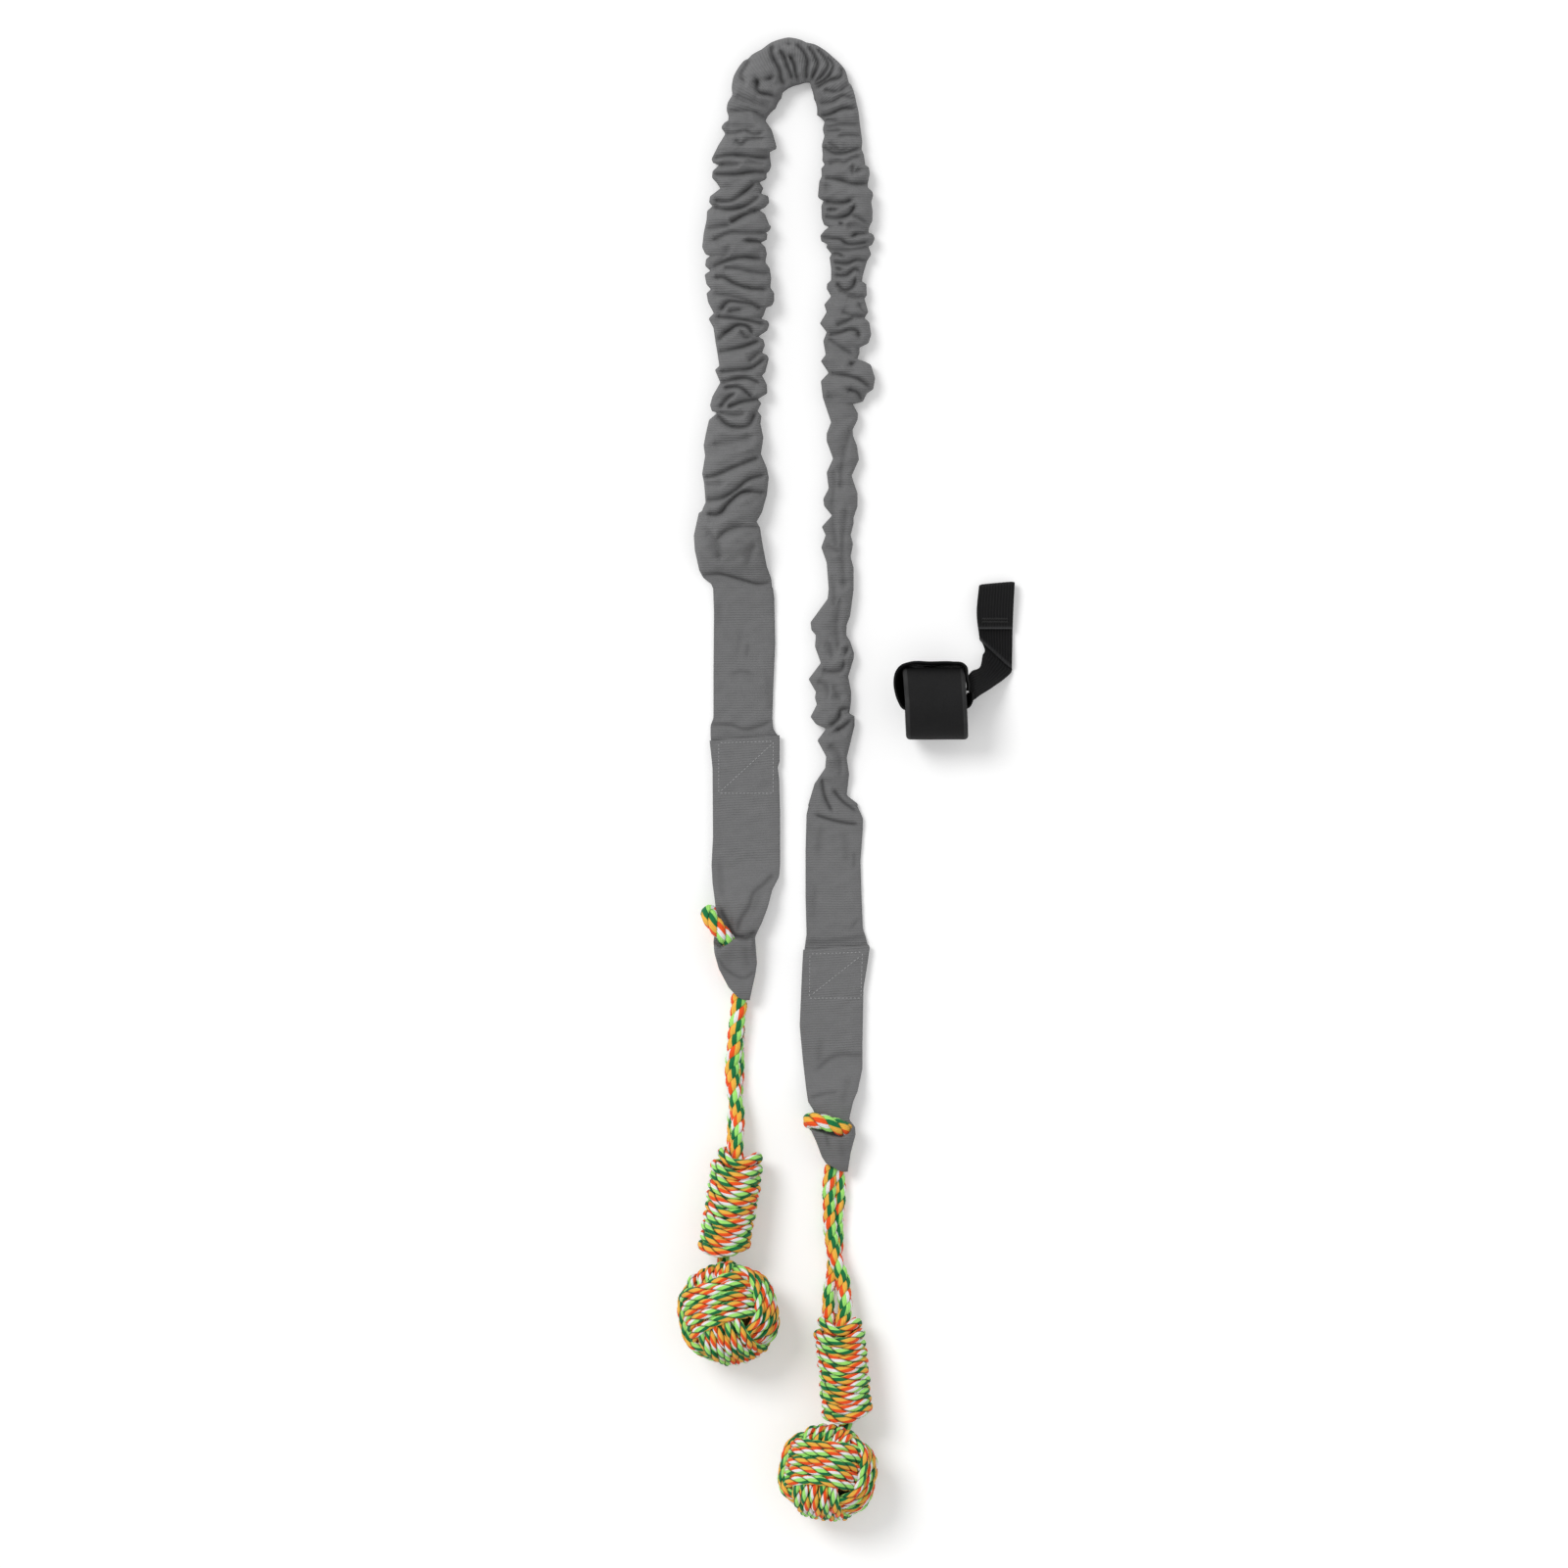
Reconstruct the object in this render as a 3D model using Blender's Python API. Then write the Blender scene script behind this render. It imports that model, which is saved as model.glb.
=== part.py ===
"""A rope tug toy laid out flat, with the door anchor that lies beside it.

A gathered fabric sleeve over an elastic core is bent in two. Each leg ends in a flat strap that is
folded back and box stitched, and a rope is hitched round the neck of the strap. Its two strands run
to a rope-wound grip and a knotted rope ball. The anchor is a foam roller held in a webbing loop,
whose tail ends in a folded eye.

Metres, +Z up. The floor is z = 0, the bend is at +Y and the balls are at -Y.
"""

import math

import bmesh
import bpy
from mathutils import Matrix, Vector

# Clearances
TOUCH_GAP = 0.0003
ROPE_GAP = 0.0005
WRAP_GAP = 0.0006

# The gathered sleeve and its elastic
SLEEVE_WIDTH = 0.046
SLEEVE_HEIGHT = 0.025
SLEEVE_LEAST_HEIGHT = 0.013
SLEEVE_HEIGHT_share = 0.9
SLEEVE_SIDES = 12
SLEEVE_ROUNDNESS = 0.85
CORE_DIAMETER = 0.007
CORE_CLEARANCE = 0.00045
BORE_SIDES = SLEEVE_SIDES // 2
LEG_SPACING = 0.0677
LEFT_LEG_X = -0.0707
LEG_TOP_Y = 0.4359
BEND_HEIGHT = 0.0619
LEFT_LEG_LENGTH = 0.304
RIGHT_LEG_LENGTH = 0.455

# The straps
STRAP_THICKNESS = 0.0032
LEFT_STRAP_LENGTH = 0.2856
RIGHT_STRAP_LENGTH = 0.2543
STITCH_DIAMETER = 0.0008

# The ropes
ROPE_DIAMETER = 0.0080
WRAP_ROPE_DIAMETER = 0.0064
ROPE_STEP_share = 0.9
LEFT_NECK_LENGTH = 0.1096
RIGHT_NECK_LENGTH = 0.1055
GRIP_CORE_DIAMETER = 0.0232
GRIP_AXIS_RADIUS = 0.0161
GRIP_TURNS = 6.5
GRIP_TURN_POINTS = 20
GRIP_TOP_RECESS = 0.004
GRIP_BOTTOM_RECESS = 0.006
GRIP_TOP_HEIGHT = 0.0204
GRIP_BOTTOM_HEIGHT = 0.0245
LEFT_GRIP_RUN = (-0.0102, -0.0633)
RIGHT_GRIP_RUN = (0.0061, -0.0626)
LEFT_BALL_RUN = (0.0040, -0.0394)
RIGHT_BALL_RUN = (-0.0142, -0.0347)

# The balls: four passes in each of three bands, and each band goes over one and under the next
BALL_OUTER_RADIUS = 0.0300
BALL_INNER_RADIUS = 0.0198
BALL_CORE_RADIUS = 0.0160
BALL_PASSES = 4
BALL_LOOP_POINTS = 18
BALL_LOOP_POWER = 5.8
BALL_OUTER_DROP = 0.0019
BALL_INNER_DROP = 0.0001
BALL_TRIM_share = 0.1
BALL_SHIFT_share = 0.5

# The door anchor
FOAM_DIAMETER = 0.050
FOAM_LENGTH = 0.042
FOAM_BORE = 0.026
FOAM_CENTRE_X = 0.0615
FOAM_CENTRE_Y = 0.0513
WEBBING_WIDTH = 0.0245
WEBBING_THICKNESS = 0.0022

# Colours
GREY_FABRIC = (0.165, 0.165, 0.168, 1)
PALE_THREAD = (0.32, 0.32, 0.33, 1)
WHITE_RUBBER = (0.75, 0.74, 0.70, 1)
ORANGE_ROPE = (0.95, 0.20, 0.03, 1)
GREEN_ROPE = (0.08, 0.35, 0.08, 1)
WHITE_ROPE = (0.85, 0.85, 0.80, 1)
BLACK_FOAM = (0.012, 0.012, 0.013, 1)
BLACK_WEBBING = (0.02, 0.02, 0.022, 1)

# Bend, from the left leg to the right: across the leg spacing, up the bend, half the sleeve's width
BEND_share = [
    (0, 0, 0.48), (0, 0.253, 0.34), (0.02, 0.418, 0.31), (0.10, 0.604, 0.355), (0.20, 0.841, 0.37),
    (0.367, 0.956, 0.348), (0.513, 1, 0.35), (0.709, 0.938, 0.296), (0.839, 0.769, 0.325),
    (0.90, 0.582, 0.318), (0.96, 0.407, 0.288), (0.99, 0.247, 0.274), (1, 0, 0.311),
]

# Down each leg or strap: along its length, sideways and half across, both of the sleeve's width
LEFT_LEG_share = [
    (0, 0, 0.48), (0.105, -0.089, 0.451), (0.195, -0.148, 0.481), (0.295, -0.104, 0.496),
    (0.391, -0.089, 0.451), (0.452, -0.052, 0.355), (0.501, -0.059, 0.392),
    (0.575, -0.104, 0.451), (0.6, -0.118, 0.318), (0.62, -0.155, 0.399), (0.669, -0.17, 0.444),
    (0.74, -0.141, 0.503), (0.799, -0.163, 0.451), (0.872, -0.274, 0.503), (0.924, -0.229, 0.518),
    (0.975, -0.141, 0.518), (1, -0.052, 0.459),
]
RIGHT_LEG_share = [
    (0, 0, 0.311), (0.033, 0.03, 0.37), (0.069, 0.052, 0.407), (0.136, 0.067, 0.407),
    (0.163, 0.104, 0.296), (0.215, 0.059, 0.311), (0.242, 0.059, 0.325), (0.275, 0.044, 0.385),
    (0.302, -0.015, 0.266), (0.321, 0.059, 0.37), (0.354, 0.081, 0.407), (0.372, 0.044, 0.296),
    (0.407, 0.022, 0.214), (0.441, 0, 0.237), (0.472, 0.052, 0.2), (0.492, -0.044, 0.192),
    (0.522, 0.015, 0.222), (0.541, -0.022, 0.259), (0.574, -0.059, 0.237), (0.602, -0.074, 0.237),
    (0.668, -0.022, 0.185), (0.698, -0.148, 0.251), (0.716, -0.192, 0.296),
    (0.765, -0.126, 0.288), (0.806, -0.2, 0.303), (0.834, -0.133, 0.281), (0.865, -0.141, 0.333),
    (0.883, -0.044, 0.192), (0.9, -0.104, 0.266), (0.931, -0.096, 0.155), (0.952, -0.081, 0.185),
    (0.975, -0.185, 0.259), (1, -0.118, 0.385),
]
LEFT_STRAP_share = [
    (0, -0.052, 0.459), (0.062, -0.007, 0.444), (0.19, -0.007, 0.459), (0.319, -0.022, 0.444),
    (0.44, 0.015, 0.496), (0.595, 0.03, 0.51), (0.688, 0.015, 0.51), (0.733, -0.007, 0.459),
    (0.779, -0.126, 0.34), (0.814, -0.141, 0.303), (0.855, -0.163, 0.318), (0.929, -0.081, 0.251),
    (0.976, -0.022, 0.148), (1, -0.015, 0.089),
]
RIGHT_STRAP_share = [
    (0, -0.118, 0.385), (0.091, -0.118, 0.429), (0.267, -0.126, 0.422), (0.385, -0.096, 0.496),
    (0.519, -0.155, 0.466), (0.61, -0.155, 0.466), (0.741, -0.148, 0.429), (0.802, -0.148, 0.355),
    (0.848, -0.126, 0.259), (0.872, -0.133, 0.281), (0.893, -0.133, 0.34), (0.944, -0.104, 0.259),
    (0.984, -0.059, 0.155), (1, -0.059, 0.118),
]

# Along a neck: sideways of its length, lift of the grip's height, and the strands' twist in degrees
LEFT_NECK_share = [
    (0, 0, 0, 0), (0.20, 0, 0, 0), (0.34, -0.007, 0, 30), (0.47, -0.015, 0, 62),
    (0.60, -0.022, 0, 88), (0.64, -0.022, 0, 90), (0.73, -0.025, 0.09, 118),
    (0.82, -0.030, 0.25, 150), (0.895, -0.035, 0.53, 180), (0.95, -0.037, 0.80, 180),
    (1.0, -0.040, 0.97, 180), (1.06, -0.041, 1.0, 180),
]
RIGHT_NECK_share = [
    (0, 0, 0, 0), (0.16, -0.021, 0, 0), (0.284, -0.026, 0, 15), (0.389, -0.014, 0, 55),
    (0.475, 0.006, 0, 88), (0.517, 0.007, 0, 90), (0.616, 0.004, 0.06, 125),
    (0.72, -0.002, 0.22, 160), (0.815, -0.002, 0.44, 180), (0.90, 0.002, 0.72, 180),
    (0.967, 0.006, 0.93, 180), (1.06, 0.007, 1.0, 180),
]

# A hitch's rope from its start under the flap, round the strap's left edge and over its top. Each
# row is measured in rope diameters from the strand's start, the edge's underside or the edge's top.
LEFT_HITCH_share = [
    ("start", 0, 0, 0), ("start", 0, 1.7, 0), ("start", -0.1, 3.6, 0), ("start", -0.5, 5.3, 0),
    ("edge", 0.68, -0.65, 0), ("edge", -0.09, -0.15, 0.02), ("edge", -0.72, 0, 0.35),
    ("edge", -0.86, 0.03, 0.97), ("top", -0.64, -0.04, -0.16), ("top", 0.04, -0.33, 0.14),
    ("top", 0.86, -0.95, 0.05), ("top", 1.6, -1.76, 0.03),
]
RIGHT_HITCH_share = [
    ("start", 0, 0, 0), ("start", 0, 1.45, 0), ("start", -0.16, 2.8, 0), ("start", -0.65, 3.85, 0),
    ("edge", -0.12, -0.09, 0), ("edge", -0.72, 0, 0.3), ("edge", -0.84, 0, 0.95),
    ("top", -0.64, 0, -0.15), ("top", 0.04, -0.04, 0.15), ("top", 1.15, -0.15, 0.05),
    ("top", 2.26, -0.33, 0.05), ("top", 3.06, -0.48, 0.03),
]
BACK_STRAND_share = [
    ("start", 0, 0, 0), ("start", 0, 1.5, 0), ("start", 0.03, 2.9, 0), ("start", 0.06, 4.0, 0),
]

# The anchor's webbing, in webbing widths from the foam's centre
LOOP_ROUTE_share = [
    (1.0, 0.07), (0.55, 0.02), (-0.14, -0.01), (-0.69, -0.04), (-0.97, 0.06), (-1.12, 0.27),
    (-1.18, 0.60), (-1.12, 0.90), (-1.0, 1.05), (-0.74, 1.15), (-0.14, 1.15), (0.47, 1.15),
    (0.81, 1.11), (0.94, 1.01), (1.0, 0.85),
]
LOOP_STEP_share = 0.2
# Left and right edge of the tail, the same way, with the height above the floor
TAIL_LOWER_share = [
    ((1.05, 0.84, 0.69), (1.08, 0.13, 1.35)),
    ((1.25, 1.29, 0.35), (1.58, 0.68, 0.90)),
    ((1.33, 1.52, 0.13), (2.05, 0.93, 0.12)),
]
TAIL_FOLD_share = ((1.25, 1.85), (2.17, 0.99))
# The eye at the tail's end: along the tail and above the floor
EYE_ROUTE_share = [
    (2.30, 0.045), (2.80, 0.045), (3.20, 0.045), (3.50, 0.045), (3.72, 0.10), (3.81, 0.22),
    (3.73, 0.35), (3.53, 0.405), (3.30, 0.375), (3.02, 0.27), (2.80, 0.18), (2.52, 0.155),
]
TAIL_EDGES_share = (1.24, 2.24)
BAR_TACK_share = [
    (0.12, 2.60), (0.24, 2.76), (0.36, 2.60), (0.48, 2.76), (0.60, 2.60), (0.72, 2.76), (0.84, 2.60),
]

ROPE_RADIUS = ROPE_DIAMETER / 2
FLOOR_ROPE_Z = ROPE_RADIUS + TOUCH_GAP
STRAND_SPREAD = (ROPE_DIAMETER + ROPE_GAP) / 2
PIVOT_REACH = ROPE_RADIUS + TOUCH_GAP
STRAP_LIFT = FLOOR_ROPE_Z + ROPE_RADIUS + ROPE_GAP
STRAP_TOP_Z = STRAP_LIFT + 2 * STRAP_THICKNESS + TOUCH_GAP
WRAP_PITCH = WRAP_ROPE_DIAMETER + WRAP_GAP
BALL_HEIGHT = BALL_OUTER_RADIUS + WRAP_ROPE_DIAMETER / 2
UP = Vector((0, 0, 1))


def clear_scene():
    for obj in list(bpy.data.objects):
        bpy.data.objects.remove(obj, do_unlink=True)


def collection(name, helper=False):
    made = bpy.data.collections.new(name)
    made.hide_render = helper
    bpy.context.scene.collection.children.link(made)
    return made


def material(name, colour, roughness):
    made = bpy.data.materials.new(name)
    made.use_nodes = True
    shader = made.node_tree.nodes["Principled BSDF"]
    shader.inputs["Base Color"].default_value = colour
    shader.inputs["Roughness"].default_value = roughness
    made.diffuse_color = colour
    return made


def empty(name, place, parent=None):
    """An empty on a joint's axis. Its children keep their own world places."""
    made = bpy.data.objects.new(name, None)
    made.empty_display_size = ROPE_DIAMETER
    PARTS.objects.link(made)
    hang(made, parent, place)
    return made


def hang(obj, parent, place):
    obj.parent = parent
    obj["place"] = place
    obj.location = place - Vector(parent["place"]) if parent else place


def finish(obj, parent, colour, roughness):
    """Gives the object its material and hangs it from its joint's empty, where it already stands."""
    obj.data.materials.append(material(obj.name, colour, roughness))
    if parent:
        place = Vector(parent["place"])
        obj.data.transform(Matrix.Translation(-place))
        hang(obj, parent, place)
    return obj


def smooth_step(value):
    value = min(max(value, 0), 1)
    return value * value * (3 - 2 * value)


def row_at(rows, along):
    """The row at a share of the way, read from a smooth curve through rows sorted by it."""
    last = len(rows) - 2
    index = min(max(sum(row[0] <= along for row in rows) - 1, 0), last)
    before, start, end, after = (rows[min(max(index + k, 0), last + 1)] for k in (-1, 0, 1, 2))
    span = end[0] - start[0]
    t = (along - start[0]) / span
    blend = []
    for column in range(1, len(start)):
        slope_in = (end[column] - before[column]) / (end[0] - before[0]) * span
        slope_out = (after[column] - start[column]) / (after[0] - start[0]) * span
        blend.append(
            (2 * t**3 - 3 * t**2 + 1) * start[column] + (t**3 - 2 * t**2 + t) * slope_in
            + (3 * t**2 - 2 * t**3) * end[column] + (t**3 - t**2) * slope_out
        )
    return blend


def smooth_route(points, spacing):
    """Points about every spacing along a smooth curve through the route's own points."""
    rows = [(0, *points[0])]
    for previous, point in zip(points, points[1:]):
        rows.append((rows[-1][0] + (Vector(point) - Vector(previous)).length, *point))
    count = math.ceil(rows[-1][0] / spacing)
    return [Vector(row_at(rows, rows[-1][0] * k / count)) for k in range(count + 1)]


def tube(name, points, diameter, sides_resolution=2, rounded_start=False):
    """A tube along the points. A rounded start is a half ball about the first point."""
    radius = diameter / 2
    rings = [(point, 1) for point in points]
    if rounded_start:
        back = (points[0] - points[1]).normalized() * radius
        for degrees in (30, 60, 82):
            angle = math.radians(degrees)
            rings.insert(0, (points[0] + back * math.sin(angle), math.cos(angle)))
    curve = bpy.data.curves.new(name, "CURVE")
    curve.dimensions = "3D"
    curve.bevel_depth = radius
    curve.bevel_resolution = sides_resolution
    curve.use_fill_caps = True
    spline = curve.splines.new("POLY")
    spline.points.add(len(rings) - 1)
    for spot, (point, share) in zip(spline.points, rings):
        spot.co = (*point, 1)
        spot.radius = share
    obj = bpy.data.objects.new(name, curve)
    PARTS.objects.link(obj)
    return obj


def rounded_ring(centre, across, half_width, half_height):
    """Points round a soft-cornered section that stands upright across the way, flat side down."""
    ring = []
    reach = math.cos(math.pi / SLEEVE_SIDES) ** SLEEVE_ROUNDNESS
    for k in range(SLEEVE_SIDES):
        angle = 2 * math.pi * (k + 0.5) / SLEEVE_SIDES
        side, rise = (
            math.copysign(abs(part) ** SLEEVE_ROUNDNESS, part) / reach
            for part in (math.cos(angle), math.sin(angle))
        )
        ring.append(centre + across * (side * half_width) + UP * (rise * half_height))
    return ring


def bore_ring(centre, across, radius):
    angles = [2 * math.pi * (k + 0.5) / BORE_SIDES for k in range(BORE_SIDES)]
    return [centre + (across * math.cos(a) + UP * math.sin(a)) * radius for a in angles]


def flat_ring(centre, across, half_width, half_height, up=UP):
    side, rise = across * half_width, up * half_height
    return [centre + side + rise, centre - side + rise, centre - side - rise, centre + side - rise]


def loft(name, outer, bore=(), open_end=False):
    """A closed skin over rings of points, with a bore that starts at the first ring."""
    mesh = bpy.data.meshes.new(name)
    shape = bmesh.new()

    def skin(rings):
        made = [[shape.verts.new(point) for point in ring] for ring in rings]
        for ring, following in zip(made, made[1:]):
            for k in range(len(ring)):
                last = k - 1
                shape.faces.new((ring[last], ring[k], following[k], following[last]))
        return made

    def mouth(wide, narrow):
        for k in range(len(narrow)):
            first, second, third = (wide[(2 * k + step) % len(wide)] for step in (0, 1, 2))
            shape.faces.new((first, second, narrow[k]))
            shape.faces.new((second, third, narrow[(k + 1) % len(narrow)], narrow[k]))

    outside = skin(outer)
    if bore:
        inside = skin(bore)
        mouth(outside[0], inside[0])
        if open_end:
            mouth(outside[-1], inside[-1])
        else:
            shape.faces.new(inside[-1])
            shape.faces.new(outside[-1])
    else:
        shape.faces.new(outside[0])
        shape.faces.new(outside[-1])
    bmesh.ops.recalc_face_normals(shape, faces=shape.faces)
    shape.to_mesh(mesh)
    shape.free()
    obj = bpy.data.objects.new(name, mesh)
    PARTS.objects.link(obj)
    return obj


def least_gap(points, diameter):
    """The least clear space between parts of one tube that are over three diameters apart along it."""
    spots, travelled = [], [0]
    for previous, point in zip(points, points[1:]):
        steps = 3
        for k in range(steps):
            spots.append(previous.lerp(point, k / steps))
            travelled.append(travelled[-1] + (point - previous).length / steps)
    least = math.inf
    for first in range(len(spots)):
        for second in range(first + 1, len(spots)):
            if travelled[second] - travelled[first] > 3 * diameter:
                least = min(least, (spots[second] - spots[first]).length - diameter)
    return least


def sleeve_half_height(half_width):
    return min(max(half_width * SLEEVE_HEIGHT_share, SLEEVE_LEAST_HEIGHT / 2), SLEEVE_HEIGHT / 2)


def softened(values):
    """Each value drawn half-way to its neighbours, so that the elastic runs easily."""
    drawn = [(a + 2 * b + c) / 4 for a, b, c in zip(values, values[1:], values[2:])]
    return [values[0], *drawn, values[-1]]


def bend_stations():
    places = [
        Vector((LEFT_LEG_X + across * LEG_SPACING, LEG_TOP_Y + up * BEND_HEIGHT, 0))
        for across, up, _ in BEND_share
    ]
    places[0].y += TOUCH_GAP / 2
    places[-1].y += TOUCH_GAP / 2
    stations = []
    for index, (place, row) in enumerate(zip(places, BEND_share)):
        way = places[min(index + 1, len(places) - 1)] - places[max(index - 1, 0)]
        if index in (0, len(places) - 1):
            way = Vector((0, way.y, 0))
        half_width = row[2] * SLEEVE_WIDTH
        half_height = sleeve_half_height(half_width)
        across = way.normalized().cross(UP)
        stations.append((place + UP * half_height, across, half_width, half_height))
    return stations


def leg_stations(rows, axis_x, length, core_share):
    stations = []
    for along, sideways, half in rows:
        half_width = half * SLEEVE_WIDTH
        half_height = sleeve_half_height(half_width)
        flat = smooth_step((along - core_share) / (1 - core_share))
        half_height += (STRAP_THICKNESS / 2 - half_height) * flat
        y = LEG_TOP_Y - TOUCH_GAP / 2 - along * (length - TOUCH_GAP)
        centre = Vector((axis_x + sideways * SLEEVE_WIDTH, y, half_height))
        stations.append((centre, Vector((1, 0, 0)), half_width, half_height))
    return stations


def sleeve(name, stations, core_name, core_end=None):
    """A sleeve over its elastic. Past the station core_end the sleeve is flat and closed."""
    bored = stations[:core_end]
    centres = [station[0] for station in bored]
    xs, zs = (softened(softened([centre[axis] for centre in centres])) for axis in (0, 2))
    middles = [Vector((x, centre.y, z)) for x, centre, z in zip(xs, centres, zs)]
    if core_end is None:
        middles = centres
    radius = (CORE_DIAMETER / 2 + CORE_CLEARANCE) / math.cos(math.pi / BORE_SIDES)
    bore = [bore_ring(middle, row[1], radius) for middle, row in zip(middles, bored)]
    skin = loft(name, [rounded_ring(*row) for row in stations], bore, core_end is None)
    if core_end:
        ends = ((middles[0], middles[1]), (middles[-1], middles[-2]))
        drawn = [end + (following - end).normalized() * TOUCH_GAP for end, following in ends]
        middles = [drawn[0], *middles[1:-1], drawn[1]]
    core = tube(core_name, middles, CORE_DIAMETER)
    finish(skin, None, GREY_FABRIC, 0.9)
    finish(core, None, WHITE_RUBBER, 0.6)


def strap_place(side, along):
    sideways, half = row_at(side["strap"], along)
    y = side["strap_y"] - TOUCH_GAP / 2 - along * side["strap_length"]
    rise = smooth_step((along - side["rise_from"]) / (side["rise_to"] - side["rise_from"]))
    return Vector((side["axis_x"] + sideways * SLEEVE_WIDTH, y, rise * STRAP_LIFT)), half * SLEEVE_WIDTH


def strap_layer(name, side, start, above, parent):
    """One layer of the folded strap, from a share of its length to its tip."""
    shares = [start, *(row[0] for row in side["strap"] if row[0] > start)]
    rings = []
    for along in shares:
        place, half_width = strap_place(side, along)
        centre = place + UP * (above + STRAP_THICKNESS / 2)
        rings.append(flat_ring(centre, Vector((1, 0, 0)), half_width, STRAP_THICKNESS / 2))
    finish(loft(name, rings), parent, GREY_FABRIC, 0.9)


def box_stitching(name, side, parent):
    """A thread laid as a box with a slanting run through it, on the folded-back layer."""
    top, bottom = side["stitch"]
    place, _ = strap_place(side, (top + bottom) / 2)
    z = 2 * STRAP_THICKNESS + 2 * TOUCH_GAP + STITCH_DIAMETER / 2
    half = side["stitch_half"] * SLEEVE_WIDTH
    y_top, y_bottom = (strap_place(side, share)[0].y for share in (top, bottom))
    inset = 2 * STITCH_DIAMETER
    corners = [
        (half, y_top), (-half, y_top), (-half, y_bottom), (half, y_bottom), (half, y_top - inset),
        (inset - half, y_bottom + inset),
    ]
    route = [Vector((place.x + x, y, z)) for x, y in corners]
    finish(tube(name, route, STITCH_DIAMETER, 1), parent, PALE_THREAD, 0.8)


def hitch_route(side, rows, spread):
    start = Vector((side["tip"].x + spread, side["tip"].y - TOUCH_GAP, FLOOR_ROPE_Z))
    neck, half_width = strap_place(side, side["hitch_share"])
    edge = Vector((neck.x - half_width, neck.y, FLOOR_ROPE_Z))
    top = Vector((edge.x, neck.y, STRAP_TOP_Z + TOUCH_GAP + ROPE_RADIUS))
    bases = {"start": start, "edge": edge, "top": top}
    points = [bases[base] + Vector((x, y, z)) * ROPE_DIAMETER for base, x, y, z in rows]
    return smooth_route(points, ROPE_DIAMETER * ROPE_STEP_share)


def neck_strand(side, start, end, sign):
    """One of the neck's two strands between two shares of its length."""
    length = side["neck_length"]
    count = math.ceil((end - start) * length / (ROPE_DIAMETER * ROPE_STEP_share))
    points = []
    for k in range(count + 1):
        along = start + (end - start) * k / count
        sideways, lift, twist = row_at(side["neck"], along)
        angle = math.radians(twist)
        rise = STRAND_SPREAD * abs(math.sin(angle)) + lift * (GRIP_TOP_HEIGHT - FLOOR_ROPE_Z)
        middle = Vector((sideways * length, -along * length, FLOOR_ROPE_Z + rise))
        offset = Vector((math.cos(angle), 0, math.sin(angle))) * (sign * STRAND_SPREAD)
        points.append(Vector((*side["pivot"].xy, 0)) + middle + offset)
    return points


def grip(side, parent):
    name, top, bottom = side["name"], side["grip_top"], side["grip_bottom"]
    way = (bottom - top).normalized()
    across = way.cross(UP).normalized()
    upward = across.cross(way)
    pitch = ((bottom - top).length - ROPE_DIAMETER) / GRIP_TURNS
    points = []
    count = round(GRIP_TURNS * GRIP_TURN_POINTS)
    for k in range(count + 1):
        turn = k / GRIP_TURN_POINTS
        angle = 2 * math.pi * turn + math.pi / 2
        around = (across * math.cos(angle) + upward * math.sin(angle)) * GRIP_AXIS_RADIUS
        points.append(top + way * (ROPE_RADIUS + pitch * turn) + around)
    slope = way * (pitch / (2 * math.pi * GRIP_AXIS_RADIUS))
    first_way = (-across + slope).normalized()
    turned = 2 * math.pi * GRIP_TURNS
    last_way = (-across * math.cos(turned) - upward * math.sin(turned) + slope).normalized()
    points.insert(0, points[0] - first_way * ROPE_DIAMETER)
    points.append(points[-1] + last_way * ROPE_DIAMETER)
    print(name, "grip winding, least gap in mm:", round(least_gap(points, ROPE_DIAMETER) * 1000, 2))
    finish(tube(f"{name}_grip_winding", points, ROPE_DIAMETER, 1), parent, ORANGE_ROPE, 0.8)

    start, end = top + way * GRIP_TOP_RECESS, bottom - way * GRIP_BOTTOM_RECESS
    core = cylinder(f"{name}_grip_core", GRIP_CORE_DIAMETER / 2, (end - start).length, PARTS)
    turn = way.to_track_quat("Z", "Y").to_matrix().to_4x4()
    core.data.transform(Matrix.Translation((start + end) / 2) @ turn)
    finish(core, parent, GREEN_ROPE, 0.8)


def cylinder(name, radius, length, where, sides=24):
    mesh = bpy.data.meshes.new(name)
    shape = bmesh.new()
    bmesh.ops.create_cone(
        shape, cap_ends=True, segments=sides, radius1=radius, radius2=radius, depth=length
    )
    shape.to_mesh(mesh)
    shape.free()
    mesh.shade_smooth()
    mesh.set_sharp_from_angle(angle=math.radians(40))
    obj = bpy.data.objects.new(name, mesh)
    where.objects.link(obj)
    return obj


def wrap_loop_points():
    """One band about the ball's own Z: outside at X, and under the next band at Y."""
    turns = BALL_PASSES - 2 * BALL_TRIM_share
    count = round(turns * BALL_LOOP_POINTS)
    half_band = (BALL_PASSES - 1) / 2 * WRAP_PITCH
    points = []
    for k in range(count + 1):
        turn = BALL_TRIM_share + turns * k / count
        shifts = sum(
            smooth_step((turn - j) / BALL_SHIFT_share + 0.5) for j in range(BALL_PASSES + 1)
        )
        offset = (shifts - (BALL_PASSES + 1) / 2) * WRAP_PITCH
        angle = 2 * math.pi * turn + math.pi / 2
        out = (offset / half_band) ** 2
        wide = BALL_OUTER_RADIUS - BALL_OUTER_DROP * out
        deep = BALL_INNER_RADIUS - BALL_INNER_DROP * out
        reach = (
            abs(math.cos(angle) / wide) ** BALL_LOOP_POWER
            + abs(math.sin(angle) / deep) ** BALL_LOOP_POWER
        ) ** (-1 / BALL_LOOP_POWER)
        points.append(Vector((reach * math.cos(angle), reach * math.sin(angle), offset)))
    return points



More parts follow.
